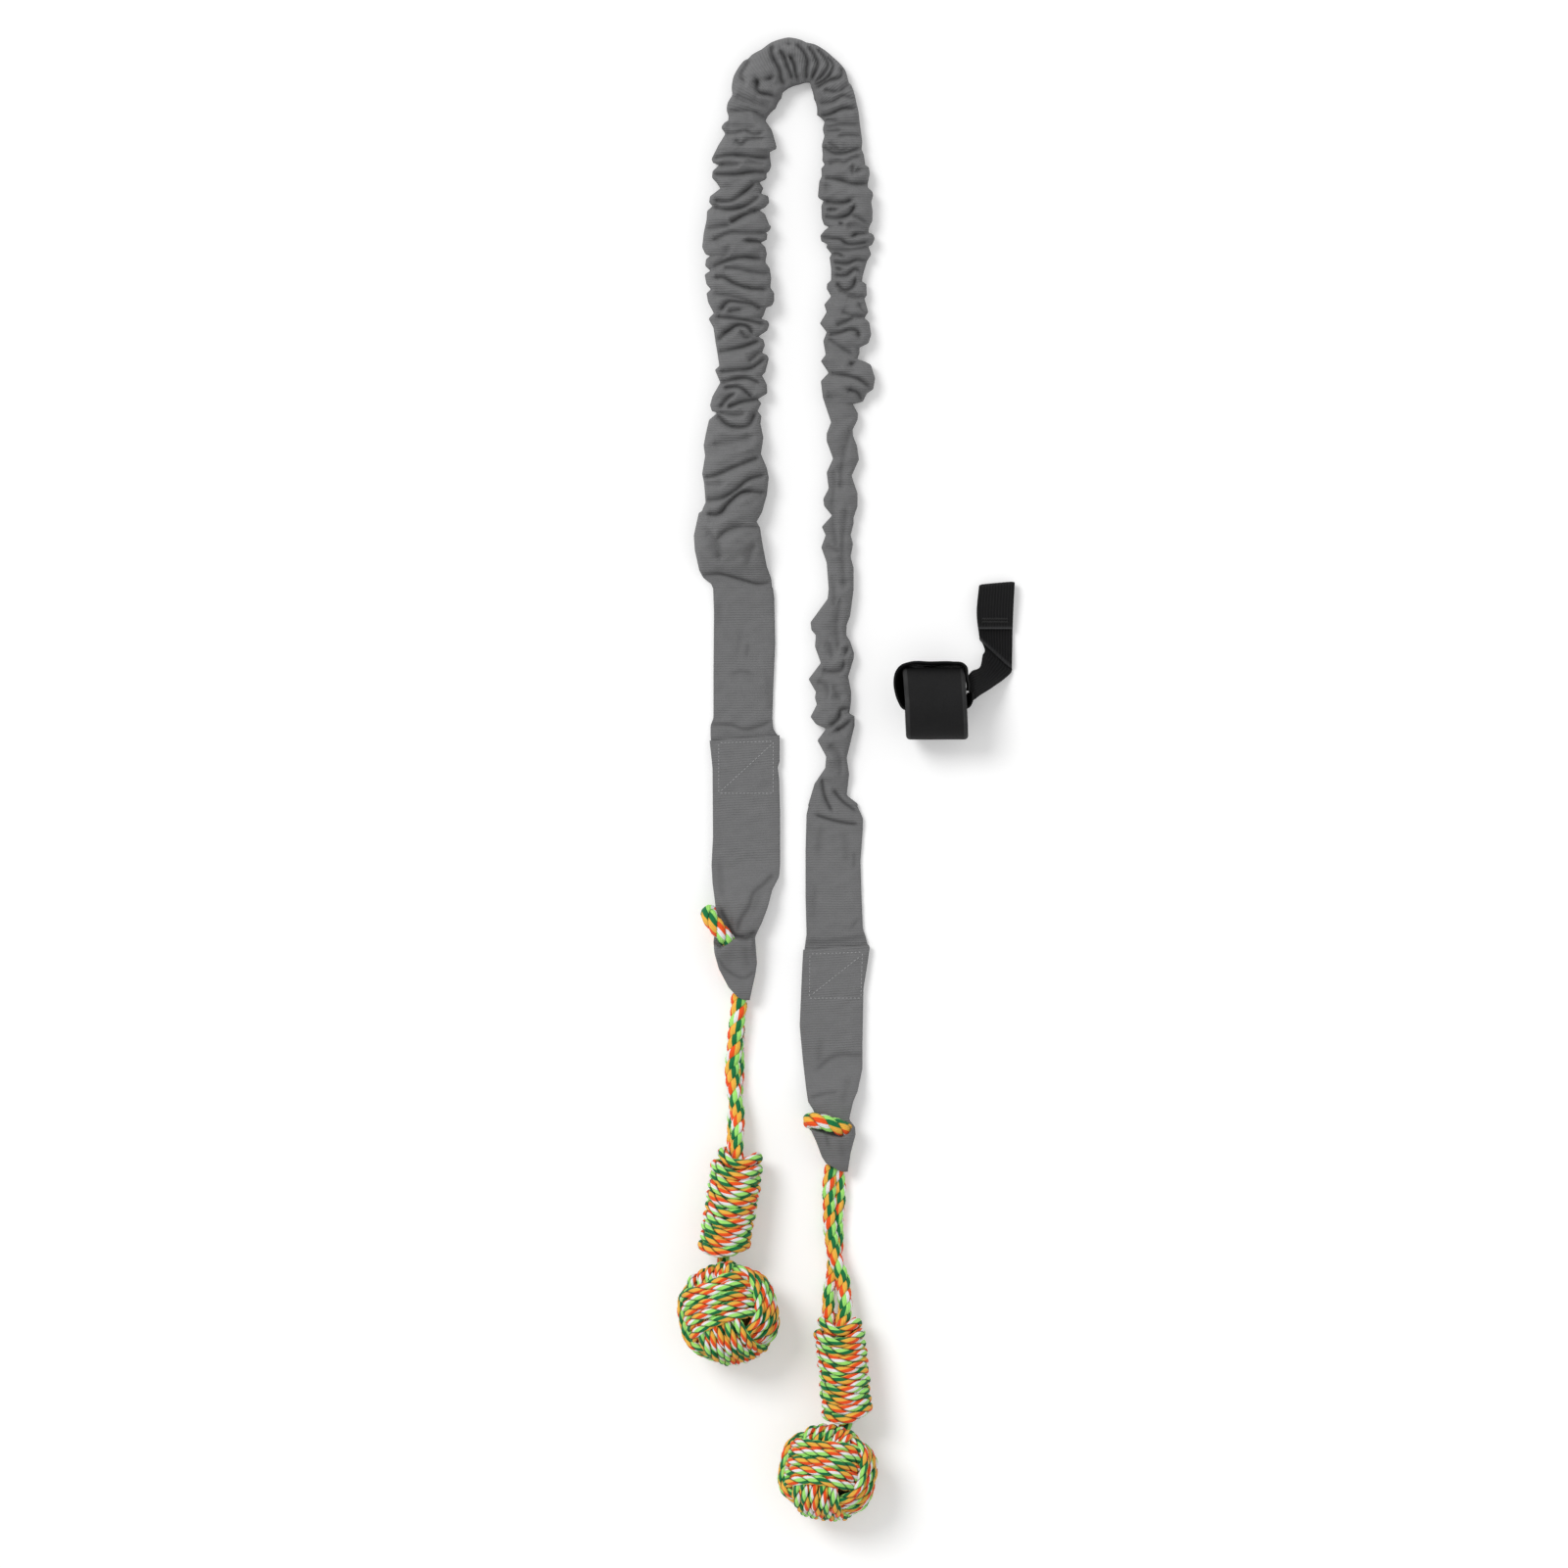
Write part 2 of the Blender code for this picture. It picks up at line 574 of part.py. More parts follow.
def ball(side, parent):
    name, centre, pivot = side["name"], side["ball"], side["ball_pivot"]
    toward = Vector((*(pivot - centre).xy, 0)).normalized()
    across = toward.cross(UP)
    loop = wrap_loop_points()
    print(name, "ball wrap, least gap in mm:", round(least_gap(loop, WRAP_ROPE_DIAMETER) * 1000, 2))
    colours = (("first", ORANGE_ROPE), ("second", GREEN_ROPE), ("third", WHITE_ROPE))
    for turn, (label, colour) in enumerate(colours):
        points = []
        for point in loop:
            x, y, z = (point[(axis - turn) % 3] for axis in range(3))
            points.append(centre + across * x + toward * y + UP * z)
        wrap = tube(f"{name}_ball_wrap_{label}", points, WRAP_ROPE_DIAMETER, 1)
        finish(wrap, parent, colour, 0.8)

    mesh = bpy.data.meshes.new(f"{name}_ball_core")
    shape = bmesh.new()
    bmesh.ops.create_uvsphere(shape, u_segments=14, v_segments=9, radius=BALL_CORE_RADIUS)
    shape.to_mesh(mesh)
    shape.free()
    mesh.transform(Matrix.Translation(centre))
    core = bpy.data.objects.new(f"{name}_ball_core", mesh)
    PARTS.objects.link(core)
    finish(core, parent, GREEN_ROPE, 0.8)

    way = (pivot - centre).normalized()
    flat = way.dot(toward)
    seat = centre + way * ((BALL_HEIGHT - TOUCH_GAP) / flat)
    link = tube(f"{name}_ball_link", [pivot, seat], ROPE_DIAMETER, rounded_start=True)
    finish(link, parent, ORANGE_ROPE, 0.8)


def build_side(side):
    """Everything from one leg of the sleeve down to its ball."""
    name = side["name"]
    stations = leg_stations(side["leg"], side["axis_x"], side["leg_length"], side["core_share"])
    core_end = sum(row[0] <= side["core_share"] for row in side["leg"])
    sleeve(f"{name}_leg_sleeve", stations, f"{name}_elastic_core", core_end)

    side["strap_y"] = LEG_TOP_Y - side["leg_length"]
    side["tip"], _ = strap_place(side, 1)
    side["pivot"] = Vector((*side["tip"].xy, FLOOR_ROPE_Z)) - Vector((0, PIVOT_REACH + TOUCH_GAP, 0))
    slide = empty(f"{name}_stretch", Vector((side["axis_x"], side["strap_y"], 0)))
    strap_layer(f"{name}_strap", side, 0, 0, slide)
    fold_z = STRAP_THICKNESS + TOUCH_GAP
    strap_layer(f"{name}_strap_fold_back", side, side["fold_share"], fold_z, slide)
    box_stitching(f"{name}_box_stitching", side, slide)
    for label, rows, spread in (
        ("rope_hitch", side["hitch"], -STRAND_SPREAD),
        ("hitch_back_strand", BACK_STRAND_share, STRAND_SPREAD),
    ):
        strand = tube(f"{name}_{label}", hitch_route(side, rows, spread), ROPE_DIAMETER)
        finish(strand, slide, ORANGE_ROPE, 0.8)

    lift = empty(f"{name}_lift_pivot", side["pivot"], slide)
    length, cross = side["neck_length"], side["cross_share"]
    sideways, _, _ = row_at(side["neck"], cross)
    crossing = Vector((side["pivot"].x + sideways * length, side["pivot"].y - cross * length, 0))
    swing = empty(f"{name}_swing_pivot", crossing, lift)
    for label, sign, colour in (("one", -1, ORANGE_ROPE), ("two", 1, GREEN_ROPE)):
        upper = neck_strand(side, 0, cross - PIVOT_REACH / length, sign)
        made = tube(f"{name}_upper_neck_strand_{label}", upper, ROPE_DIAMETER, 2, True)
        finish(made, lift, colour, 0.8)
        end = 1 + GRIP_TOP_RECESS * side["strand_depth"] / length
        lower = neck_strand(side, cross, end, sign)
        made = tube(f"{name}_lower_neck_strand_{label}", lower, ROPE_DIAMETER, 2, True)
        finish(made, swing, colour, 0.8)

    sideways, _, _ = row_at(side["neck"], 1)
    top_place = side["pivot"].xy + Vector((sideways * length, -length))
    side["grip_top"] = Vector((*top_place, GRIP_TOP_HEIGHT))
    side["grip_bottom"] = Vector((*(top_place + Vector(side["grip_run"])), GRIP_BOTTOM_HEIGHT))
    grip(side, swing)

    way = (side["grip_bottom"] - side["grip_top"]).normalized()
    reach = GRIP_BOTTOM_RECESS - TOUCH_GAP - ROPE_RADIUS
    side["ball_pivot"] = side["grip_bottom"] - way * reach
    ball_place = side["grip_bottom"].xy + Vector(side["ball_run"])
    side["ball"] = Vector((*ball_place, BALL_HEIGHT))
    ball(side, empty(f"{name}_ball_pivot", side["ball_pivot"], swing))
    for label in ("pivot", "grip_top", "grip_bottom", "ball_pivot", "ball"):
        print(name, label, [round(value * 1000, 2) for value in side[label]])
    print(name, "crossing", [round(value * 1000, 2) for value in crossing])


def on_webbing(x, y, z=0.0):
    return Vector((FOAM_CENTRE_X, FOAM_CENTRE_Y, 0)) + Vector((x, y, z)) * WEBBING_WIDTH


def foam_roller(lift):
    centre = Vector((FOAM_CENTRE_X, FOAM_CENTRE_Y, FOAM_DIAMETER / 2))
    along_x = Matrix.Rotation(math.pi / 2, 4, "Y")
    foam = cylinder("foam_roller", FOAM_DIAMETER / 2, FOAM_LENGTH, PARTS, 40)
    cutter = cylinder("foam_bore", FOAM_BORE / 2, 2 * FOAM_LENGTH, CUTTERS, 32)
    for obj in (foam, cutter):
        obj.data.transform(Matrix.Translation(centre) @ along_x)
    cutter.hide_render = True
    cutter.display_type = "WIRE"
    pivot = empty("foam_pivot", centre, lift)
    finish(foam, pivot, BLACK_FOAM, 0.95)
    hang(cutter, pivot, centre)
    cutter.data.transform(Matrix.Translation(-centre))
    cut = foam.modifiers.new("Bore", "BOOLEAN")
    cut.object = cutter
    cut.operation = "DIFFERENCE"


def ribbon_rings(pairs):
    """Rings of a flat band whose left and right edges are given."""
    middles = [(left + right) / 2 for left, right in pairs]
    rings = []
    for index, (left, right) in enumerate(pairs):
        way = middles[min(index + 1, len(pairs) - 1)] - middles[max(index - 1, 0)]
        across = (right - left) / 2
        face = across.cross(way).normalized()
        rings.append(
            flat_ring(middles[index], across.normalized(), across.length, WEBBING_THICKNESS / 2, face)
        )
    return rings


def door_anchor():
    lift = empty("anchor_lift", Vector((FOAM_CENTRE_X, FOAM_CENTRE_Y, 0)))
    foam_roller(lift)

    route = [on_webbing(x, y) + UP * (FOAM_DIAMETER / 2) for x, y in LOOP_ROUTE_share]
    route = smooth_route(route, WEBBING_WIDTH * LOOP_STEP_share)
    rings = []
    for index, point in enumerate(route):
        way = route[min(index + 1, len(route) - 1)] - route[max(index - 1, 0)]
        across = way.normalized().cross(UP)
        rings.append(flat_ring(point, across, WEBBING_THICKNESS / 2, WEBBING_WIDTH / 2))
    finish(loft("anchor_webbing_loop", rings), lift, BLACK_WEBBING, 0.85)

    start, end = (on_webbing(*place) for place in TAIL_FOLD_share)
    rise = UP * (WEBBING_THICKNESS / 2)
    away = UP.cross(end - start).normalized() * TOUCH_GAP
    pairs = [(on_webbing(*left), on_webbing(*right)) for left, right in TAIL_LOWER_share]
    pairs.append((start - away + rise, end - away + rise))
    finish(loft("anchor_tail", ribbon_rings(pairs)), lift, BLACK_WEBBING, 0.85)

    hinge = empty("anchor_tail_pivot", (start + end) / 2 + UP * WEBBING_THICKNESS, lift)
    print("fold line", [round(value * 1000, 2) for value in (*start, *end)])
    pairs = [(start + away + rise, end + away + rise)]
    left_x, right_x = (on_webbing(x, 0).x for x in TAIL_EDGES_share)
    for along, height in EYE_ROUTE_share:
        y = on_webbing(0, along).y
        z = height * WEBBING_WIDTH
        pairs.append((Vector((left_x, y, z)), Vector((right_x, y, z))))
    finish(loft("anchor_tail_eye", ribbon_rings(pairs)), hinge, BLACK_WEBBING, 0.85)

    z = EYE_ROUTE_share[-1][1] * WEBBING_WIDTH + WEBBING_THICKNESS / 2
    z += TOUCH_GAP + STITCH_DIAMETER
    route = [
        Vector((left_x + across * WEBBING_WIDTH, on_webbing(0, along).y, z))
        for across, along in BAR_TACK_share
    ]
    finish(tube("anchor_bar_tack", route, STITCH_DIAMETER, 1), hinge, BLACK_WEBBING, 0.7)


clear_scene()
PARTS = collection("Rope tug toy")
CUTTERS = collection("Cutters", helper=True)

sleeve("bend_sleeve", bend_stations(), "bend_elastic_core")
build_side({
    "name": "left", "axis_x": LEFT_LEG_X,
    "leg": LEFT_LEG_share, "leg_length": LEFT_LEG_LENGTH, "core_share": 0.80,
    "strap": LEFT_STRAP_share, "strap_length": LEFT_STRAP_LENGTH, "rise_from": 0.67, "rise_to": 0.78,
    "fold_share": 0.357, "stitch": (0.374, 0.495), "stitch_half": 0.405,
    "hitch": LEFT_HITCH_share, "hitch_share": 0.80,
    "neck": LEFT_NECK_share, "neck_length": LEFT_NECK_LENGTH, "cross_share": 0.64,
    "strand_depth": 0.5,
    "grip_run": LEFT_GRIP_RUN, "ball_run": LEFT_BALL_RUN,
})
build_side({
    "name": "right", "axis_x": LEFT_LEG_X + LEG_SPACING,
    "leg": RIGHT_LEG_share, "leg_length": RIGHT_LEG_LENGTH, "core_share": 0.866,
    "strap": RIGHT_STRAP_share, "strap_length": RIGHT_STRAP_LENGTH, "rise_from": 0.70,
    "rise_to": 0.82, "fold_share": 0.385, "stitch": (0.401, 0.527), "stitch_half": 0.405,
    "hitch": RIGHT_HITCH_share, "hitch_share": 0.858,
    "neck": RIGHT_NECK_share, "neck_length": RIGHT_NECK_LENGTH, "cross_share": 0.517,
    "strand_depth": 0.65,
    "grip_run": RIGHT_GRIP_RUN, "ball_run": RIGHT_BALL_RUN,
})
door_anchor()
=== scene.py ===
# %% [markdown]
# # A rope tug toy and its door anchor
# The toy is a gathered fabric sleeve over an elastic, bent in two. Each leg ends in a flat strap
# with a rope hitched round its neck, and the rope ends in a wound grip and a knotted ball. A black
# door anchor lies beside it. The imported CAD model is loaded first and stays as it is. Every new
# piece is made in its frame, in metres, and takes the place of the solids that it stands for.

# %% Load the frame
import math
import random

import bmesh
import bpy
import numpy as np
from mathutils import Matrix, Vector, noise


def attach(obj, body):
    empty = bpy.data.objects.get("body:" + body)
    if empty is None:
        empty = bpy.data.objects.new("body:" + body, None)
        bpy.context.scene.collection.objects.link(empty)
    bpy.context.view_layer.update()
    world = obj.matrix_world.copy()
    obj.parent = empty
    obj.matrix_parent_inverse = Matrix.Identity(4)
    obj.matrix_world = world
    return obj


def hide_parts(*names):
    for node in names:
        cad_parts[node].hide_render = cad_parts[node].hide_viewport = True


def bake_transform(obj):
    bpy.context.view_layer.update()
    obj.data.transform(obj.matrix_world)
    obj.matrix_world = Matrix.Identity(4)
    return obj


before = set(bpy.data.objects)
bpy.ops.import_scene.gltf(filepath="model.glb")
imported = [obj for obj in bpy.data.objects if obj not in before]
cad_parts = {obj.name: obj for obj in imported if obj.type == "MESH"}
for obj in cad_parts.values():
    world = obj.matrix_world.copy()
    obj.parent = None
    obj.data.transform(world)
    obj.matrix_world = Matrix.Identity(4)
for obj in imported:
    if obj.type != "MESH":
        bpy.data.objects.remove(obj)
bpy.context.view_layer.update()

# %% [markdown]
# ## Camera, light and floor
# The toy lies flat and is seen from straight above, so a very long lens far away keeps the balls
# from leaning outwards. The picture is square, and one of its 1601 steps is 0.68 mm on the floor.
# Places on the floor are written in these steps from here on, and `spot` turns them into metres.

# %% Camera
STEP = 0.00068
MIDDLE = (864.5, 794.0)
PICTURE_SIZE, PICTURE_MIDDLE = 1601, (800.5, 800.5)


def spot(across, down, height=0.0):
    """A place in metres from steps across and down the picture."""
    return Vector(((across - MIDDLE[0]) * STEP, (MIDDLE[1] - down) * STEP, height))


def add_camera(lens=300.0, sensor=36.0):
    centre = spot(*PICTURE_MIDDLE)
    distance = PICTURE_SIZE * STEP * lens / sensor
    bpy.ops.object.camera_add(location=(centre.x, centre.y, distance), rotation=(0, 0, 0))
    made = bpy.context.object
    made.data.lens, made.data.sensor_width = lens, sensor
    made.data.clip_end = 3 * distance
    bpy.context.scene.camera = made
    return made


camera = add_camera()
print("camera height:", round(camera.location.z, 3))

# %% [markdown]
# The light is plain: an even pale world, and one broad sun from the upper left so that folds and
# rope strands show their relief. Together they light a surface about as brightly as its colour is
# written. The floor is near white, and it only keeps a faint shadow.

# %% Light and floor
WORLD_STRENGTH, SUN_STRENGTH, FLOOR_GLOW = 0.62, 1.35, 0.19
FLOOR_SIZE, FLOOR_HEIGHT = 6.0, -0.0002


def light_the_scene():
    world = bpy.data.worlds.new("Pale room")
    bpy.context.scene.world = world
    world.use_nodes = True
    world.node_tree.nodes["Background"].inputs["Color"].default_value = (1, 1, 1, 1)
    world.node_tree.nodes["Background"].inputs["Strength"].default_value = WORLD_STRENGTH
    bpy.ops.object.light_add(type="SUN", rotation=(math.radians(-24), math.radians(-30), 0))
    sun = bpy.context.object
    sun.data.energy, sun.data.angle = SUN_STRENGTH, math.radians(24)
    bpy.context.scene.view_settings.view_transform = "Standard"
    return sun


def plain_shader(name, colour, roughness):
    """A new material with its Principled shader's plain values set, and its tree."""
    made = bpy.data.materials.new(name)
    made.use_nodes = True
    shader = made.node_tree.nodes["Principled BSDF"]
    shader.inputs["Base Color"].default_value = colour
    shader.inputs["Roughness"].default_value = roughness
    made.diffuse_color = colour
    return made, made.node_tree, shader


def floor_finish():
    """White, and whiter still to the camera, so that only the shadow darkens it."""
    made, tree, shader = plain_shader("Floor", (0.92, 0.92, 0.92, 1), 0.9)
    path = tree.nodes.new("ShaderNodeLightPath")
    glow = tree.nodes.new("ShaderNodeMath")
    glow.operation = "MULTIPLY"
    glow.inputs[1].default_value = FLOOR_GLOW
    tree.links.new(path.outputs["Is Camera Ray"], glow.inputs[0])
    shader.inputs["Emission Color"].default_value = (1, 1, 1, 1)
    tree.links.new(glow.outputs[0], shader.inputs["Emission Strength"])
    return made


light_the_scene()
bpy.ops.mesh.primitive_plane_add(size=FLOOR_SIZE, location=(0, 0, FLOOR_HEIGHT))
floor = bpy.context.object
floor.name = "floor"
bpy.ops.object.transform_apply(location=True, rotation=True, scale=True)
floor.data.materials.append(floor_finish())

# %% [markdown]
# ## Working with nodes
# A few small helpers keep the materials short. They make a node group with named inputs and
# outputs, and add Math, Mix, Map Range, Noise and Bump nodes. Every pattern on cloth and rope
# reads the piece's own UV map, whose two numbers are metres across and along the cloth, or the way
# round and along a rope.

# %% Node helpers


def node_group(name, inputs, outputs):
    tree = bpy.data.node_groups.new(name, "ShaderNodeTree")
    for label, kind, value in inputs:
        socket = tree.interface.new_socket(label, in_out="INPUT", socket_type=kind)
        if value is not None:
            socket.default_value = value
    for label, kind in outputs:
        tree.interface.new_socket(label, in_out="OUTPUT", socket_type=kind)
    return tree, tree.nodes.new("NodeGroupInput").outputs, tree.nodes.new("NodeGroupOutput").inputs


def feed(tree, socket, value):
    """Sets a socket to a number or a colour, or links it to another node's output."""
    if isinstance(value, (int, float, tuple)):
        socket.default_value = value
    elif value is not None:
        tree.links.new(value, socket)


def sums(tree, operation, first, second=None, third=None, clamp=False):
    made = tree.nodes.new("ShaderNodeMath")
    made.operation, made.use_clamp = operation, clamp
    for socket, value in zip(made.inputs, (first, second, third)):
        feed(tree, socket, value)
    return made.outputs[0]


def mixed(tree, share, first, second, blend="MIX"):
    made = tree.nodes.new("ShaderNodeMix")
    made.data_type, made.blend_type = "RGBA", blend
    for label, value in (("Factor_Float", share), ("A_Color", first), ("B_Color", second)):
        feed(tree, next(s for s in made.inputs if s.identifier == label), value)
    return next(s for s in made.outputs if s.identifier == "Result_Color")


def eased(tree, value, low, high):
    """0 below low, 1 above high, and smooth between."""
    made = tree.nodes.new("ShaderNodeMapRange")
    made.interpolation_type = "SMOOTHSTEP"
    for socket, number in zip(made.inputs, (value, low, high, 0.0, 1.0)):
        feed(tree, socket, number)
    return made.outputs[0]


def cloth_places(tree):
    """The two numbers of the UV map."""
    places = tree.nodes.new("ShaderNodeUVMap")
    places.uv_map = "cloth"
    parts = tree.nodes.new("ShaderNodeSeparateXYZ")
    tree.links.new(places.outputs["UV"], parts.inputs[0])
    return places.outputs["UV"], parts.outputs["X"], parts.outputs["Y"]


def group_node(tree, group, **values):
    made = tree.nodes.new("ShaderNodeGroup")
    made.node_tree = group
    for label, value in values.items():
        feed(tree, made.inputs[label.replace("_", " ")], value)
    return made.outputs


def noise_at(tree, where, scale, detail=2.0):
    """A noise texture's value, read at the given places."""
    made = tree.nodes.new("ShaderNodeTexNoise")
    made.inputs["Scale"].default_value, made.inputs["Detail"].default_value = scale, detail
    tree.links.new(where, made.inputs["Vector"])
    return made.outputs["Fac"]


def mesh_number(tree, name):
    """A number that the mesh carries at each of its points."""
    made = tree.nodes.new("ShaderNodeAttribute")
    made.attribute_name = name
    return made.outputs["Fac"]


def bumped(tree, shader, height, distance, strength=1.0):
    bump = tree.nodes.new("ShaderNodeBump")
    bump.inputs["Distance"].default_value = distance
    bump.inputs["Strength"].default_value = strength
    tree.links.new(height, bump.inputs["Height"])
    tree.links.new(bump.outputs["Normal"], shader.inputs["Normal"])


# %% [markdown]
# ## The rope
# It is a three-strand twisted rope of soft fat strands. Every strand is spun from yarns of five
# colours, and its yarns lie along the rope, so each colour crosses the strands as a stripe. The
# order is the same everywhere: orange, amber, dark green, light green and white. A striped tube
# would look flat where strands meet, so each strand is a real tube that winds round the rope's own
# line. Its UV map gives the way round the strand and the metres along it. One material per strand
# puts the stripes in their places, paints shade into the grooves where strands press together, and
# draws the yarns.

# %% Rope finishes
ORANGE, AMBER = (1.0, 0.10, 0.010, 1), (1.0, 0.53, 0.065, 1)
DARK_GREEN, LIGHT_GREEN = (0.003, 0.19, 0.055, 1), (0.42, 0.93, 0.20, 1)
WHITE = (0.94, 0.93, 0.94, 1)
LAY = 0.0245
YARNS_ROUND = 13
STRIPE_BLUR, WANDER, WANDER_LENGTH, GROOVE_SHADE_SHARE = 0.012, 0.10, 0.11, 0.95
STRIPES = [(0.0, WHITE), (0.16, LIGHT_GREEN), (0.37, DARK_GREEN), (0.58, AMBER), (0.80, ORANGE)]


def yarn_group():
    """Yarns along the rope: relief, shade, and painted shade in the strands' grooves."""
    tree, given, out = node_group(
        "Spun yarns",
        [("Round", "NodeSocketFloat", 0.0), ("Along", "NodeSocketFloat", 0.0)],
        [(label, "NodeSocketFloat") for label in ("Relief", "Shade", "Groove shade")],
    )
    turns = sums(tree, "MULTIPLY_ADD", given["Along"], 2 / LAY, given["Round"])
    wave = sums(tree, "SINE", sums(tree, "MULTIPLY", turns, 2 * math.pi * YARNS_ROUND))
    where = tree.nodes.new("ShaderNodeCombineXYZ")
    tree.links.new(sums(tree, "MULTIPLY", turns, 6.0), where.inputs[0])
    tree.links.new(sums(tree, "MULTIPLY", given["Along"], 160.0), where.inputs[1])
    fuzz = noise_at(tree, where.outputs[0], 2.4, 3.0)
    tree.links.new(sums(tree, "MULTIPLY_ADD", wave, 0.5, fuzz), out["Relief"])
    shade = sums(tree, "MULTIPLY_ADD", wave, 0.07, 0.90)
    shade = sums(tree, "MULTIPLY_ADD", fuzz, 0.22, shade)
    tree.links.new(sums(tree, "ADD", shade, 0.02), out["Shade"])
    away = sums(tree, "ABSOLUTE", sums(tree, "SUBTRACT", given["Round"], 0.5))
    tree.links.new(eased(tree, away, 0.155, 0.25), out["Groove shade"])
    return tree


SPUN_YARNS = yarn_group()


def strand_finish(name, shown, shift, drift):
    """One strand's material. Its stripes start at its own place, and wander slowly along."""
    made, tree, shader = plain_shader(name, shown, 0.62)
    _, around, along = cloth_places(tree)
    yarns = group_node(tree, SPUN_YARNS, Round=around, Along=along)
    phase = sums(tree, "MULTIPLY_ADD", along, (2 - drift) / LAY, around)
    slow = sums(tree, "SINE",
                sums(tree, "MULTIPLY_ADD", along, 2 * math.pi / WANDER_LENGTH, 9 * shift))
    phase = sums(tree, "MULTIPLY_ADD", slow, WANDER, phase)
    phase = sums(tree, "FRACT", sums(tree, "ADD", phase, 1 + shift))
    ramp = tree.nodes.new("ShaderNodeValToRGB")
    starts = [place for place, _ in STRIPES] + [1.0]
    stops = [
        (start + STRIPE_BLUR, colour) if first else (end - STRIPE_BLUR, colour)
        for (start, colour), end in zip(STRIPES, starts[1:]) for first in (True, False)
    ]
    while len(ramp.color_ramp.elements) < len(stops):
        ramp.color_ramp.elements.new(0.5)
    for element, (place, colour) in zip(ramp.color_ramp.elements, stops):
        element.position, element.color = place, colour
    tree.links.new(phase, ramp.inputs["Fac"])
    shaded = tree.nodes.new("ShaderNodeHueSaturation")
    tree.links.new(ramp.outputs["Color"], shaded.inputs["Color"])
    tree.links.new(yarns["Shade"], shaded.inputs["Value"])
    # Painted shade: the colour darkens towards this dark brown in the groove where strands press
    # together.
    deep = mixed(tree, 1.0, shaded.outputs["Color"], (0.10, 0.09, 0.07, 1), "MULTIPLY")
    groove = sums(tree, "MULTIPLY", yarns["Groove shade"], GROOVE_SHADE_SHARE)
    colour = mixed(tree, groove, shaded.outputs["Color"], deep)
    tree.links.new(colour, shader.inputs["Base Color"])
    bumped(tree, shader, yarns["Relief"], 0.0005, 0.7)
    shader.inputs["Specular IOR Level"].default_value = 0.25
    shader.inputs["Sheen Weight"].default_value = 0.08
    shader.inputs["Sheen Roughness"].default_value = 0.5
    return made


STRAND_FINISHES = [
    strand_finish("First strand", ORANGE, 0.0, 0.05),
    strand_finish("Second strand", DARK_GREEN, 0.167, 0.075),
    strand_finish("Third strand", AMBER, 0.393, 0.03),
]
print("rope finishes:", [made.name for made in STRAND_FINISHES])

# %% [markdown]
# A rope needs its line, and a frame that doesn't twist as it follows the line. `even_line` draws a
# smooth line through a few places, and `carried_frames` carries one sideways direction along it.
# The strands then turn round that frame, and the same code lays straight rope, hitches, windings
# and balls.

# %% Lines and twisted rope
ROPE_DIAMETER = 0.0098
STRAND_SIDES = 14
STRAND_END = 0.55
ROPE_STEP = LAY / 14


def even_line(places, spacing):
    """Points at an even spacing along a smooth curve through the places."""
    rows = np.array([tuple(place) for place in places], float)
    along = lengths_along(rows)
    slopes = np.gradient(rows, along, axis=0)
    fine = np.linspace(0, along[-1], 24 * len(rows))
    index = np.clip(np.searchsorted(along, fine, side="right") - 1, 0, len(rows) - 2)
    span = (along[index + 1] - along[index])[:, None]
    t = (fine[:, None] - along[index][:, None]) / span
    curve = (
        (2 * t**3 - 3 * t**2 + 1) * rows[index] + (t**3 - 2 * t**2 + t) * span * slopes[index]
        + (3 * t**2 - 2 * t**3) * rows[index + 1] + (t**3 - t**2) * span * slopes[index + 1]
    )
    gone = lengths_along(curve)
    count = max(2, round(gone[-1] / spacing))
    even = np.linspace(0, gone[-1], count + 1)
    return np.stack([np.interp(even, gone, column) for column in curve.T], axis=1)


def lengths_along(line):
    """How far each of a line's points is from its start."""
    return np.concatenate([[0], np.cumsum(np.linalg.norm(np.diff(line, axis=0), axis=1))])


def unit(rows):
    return rows / np.linalg.norm(rows, axis=-1, keepdims=True)


def carried_frames(line, away=None):
    """Two directions square to a line: one carried along it or kept outwards, and its pair."""
    ways = unit(np.gradient(line, axis=0))
    if away is not None:
        sides = unit(away - ways * (away * ways).sum(1)[:, None])
        return sides, np.cross(ways, sides)
    sides = np.zeros_like(line)
    side = np.array((0.0, 0.0, 1.0)) if abs(ways[0][2]) < 0.9 else np.array((1.0, 0.0, 0.0))
    for index, way in enumerate(ways):
        side = side - way * side.dot(way)
        side /= np.linalg.norm(side)
        sides[index] = side
    return sides, np.cross(ways, sides)


def tube_faces(around, along, cap, first=0):
    """Quads between rings of points, a cap at each end, and the UV numbers of all corners.

    Ring r's points are numbered from first + r * sides, and around has one number more than sides.
    """
    sides = len(around) - 1
    faces, places = [], []
    for ring in range(len(along) - 1):
        near, far = first + ring * sides, first + (ring + 1) * sides
        for k in range(sides):
            nxt = (k + 1) % sides
            faces.append((near + k, near + nxt, far + nxt, far + k))
            places += [(around[k], along[ring]), (around[k + 1], along[ring]),
                       (around[k + 1], along[ring + 1]), (around[k], along[ring + 1])]
    for ring, order in ((0, -1), (len(along) - 1, 1)):
        faces.append(tuple(range(first + ring * sides, first + (ring + 1) * sides))[::order])
        places += [(cap, along[ring])] * sides
    return faces, places


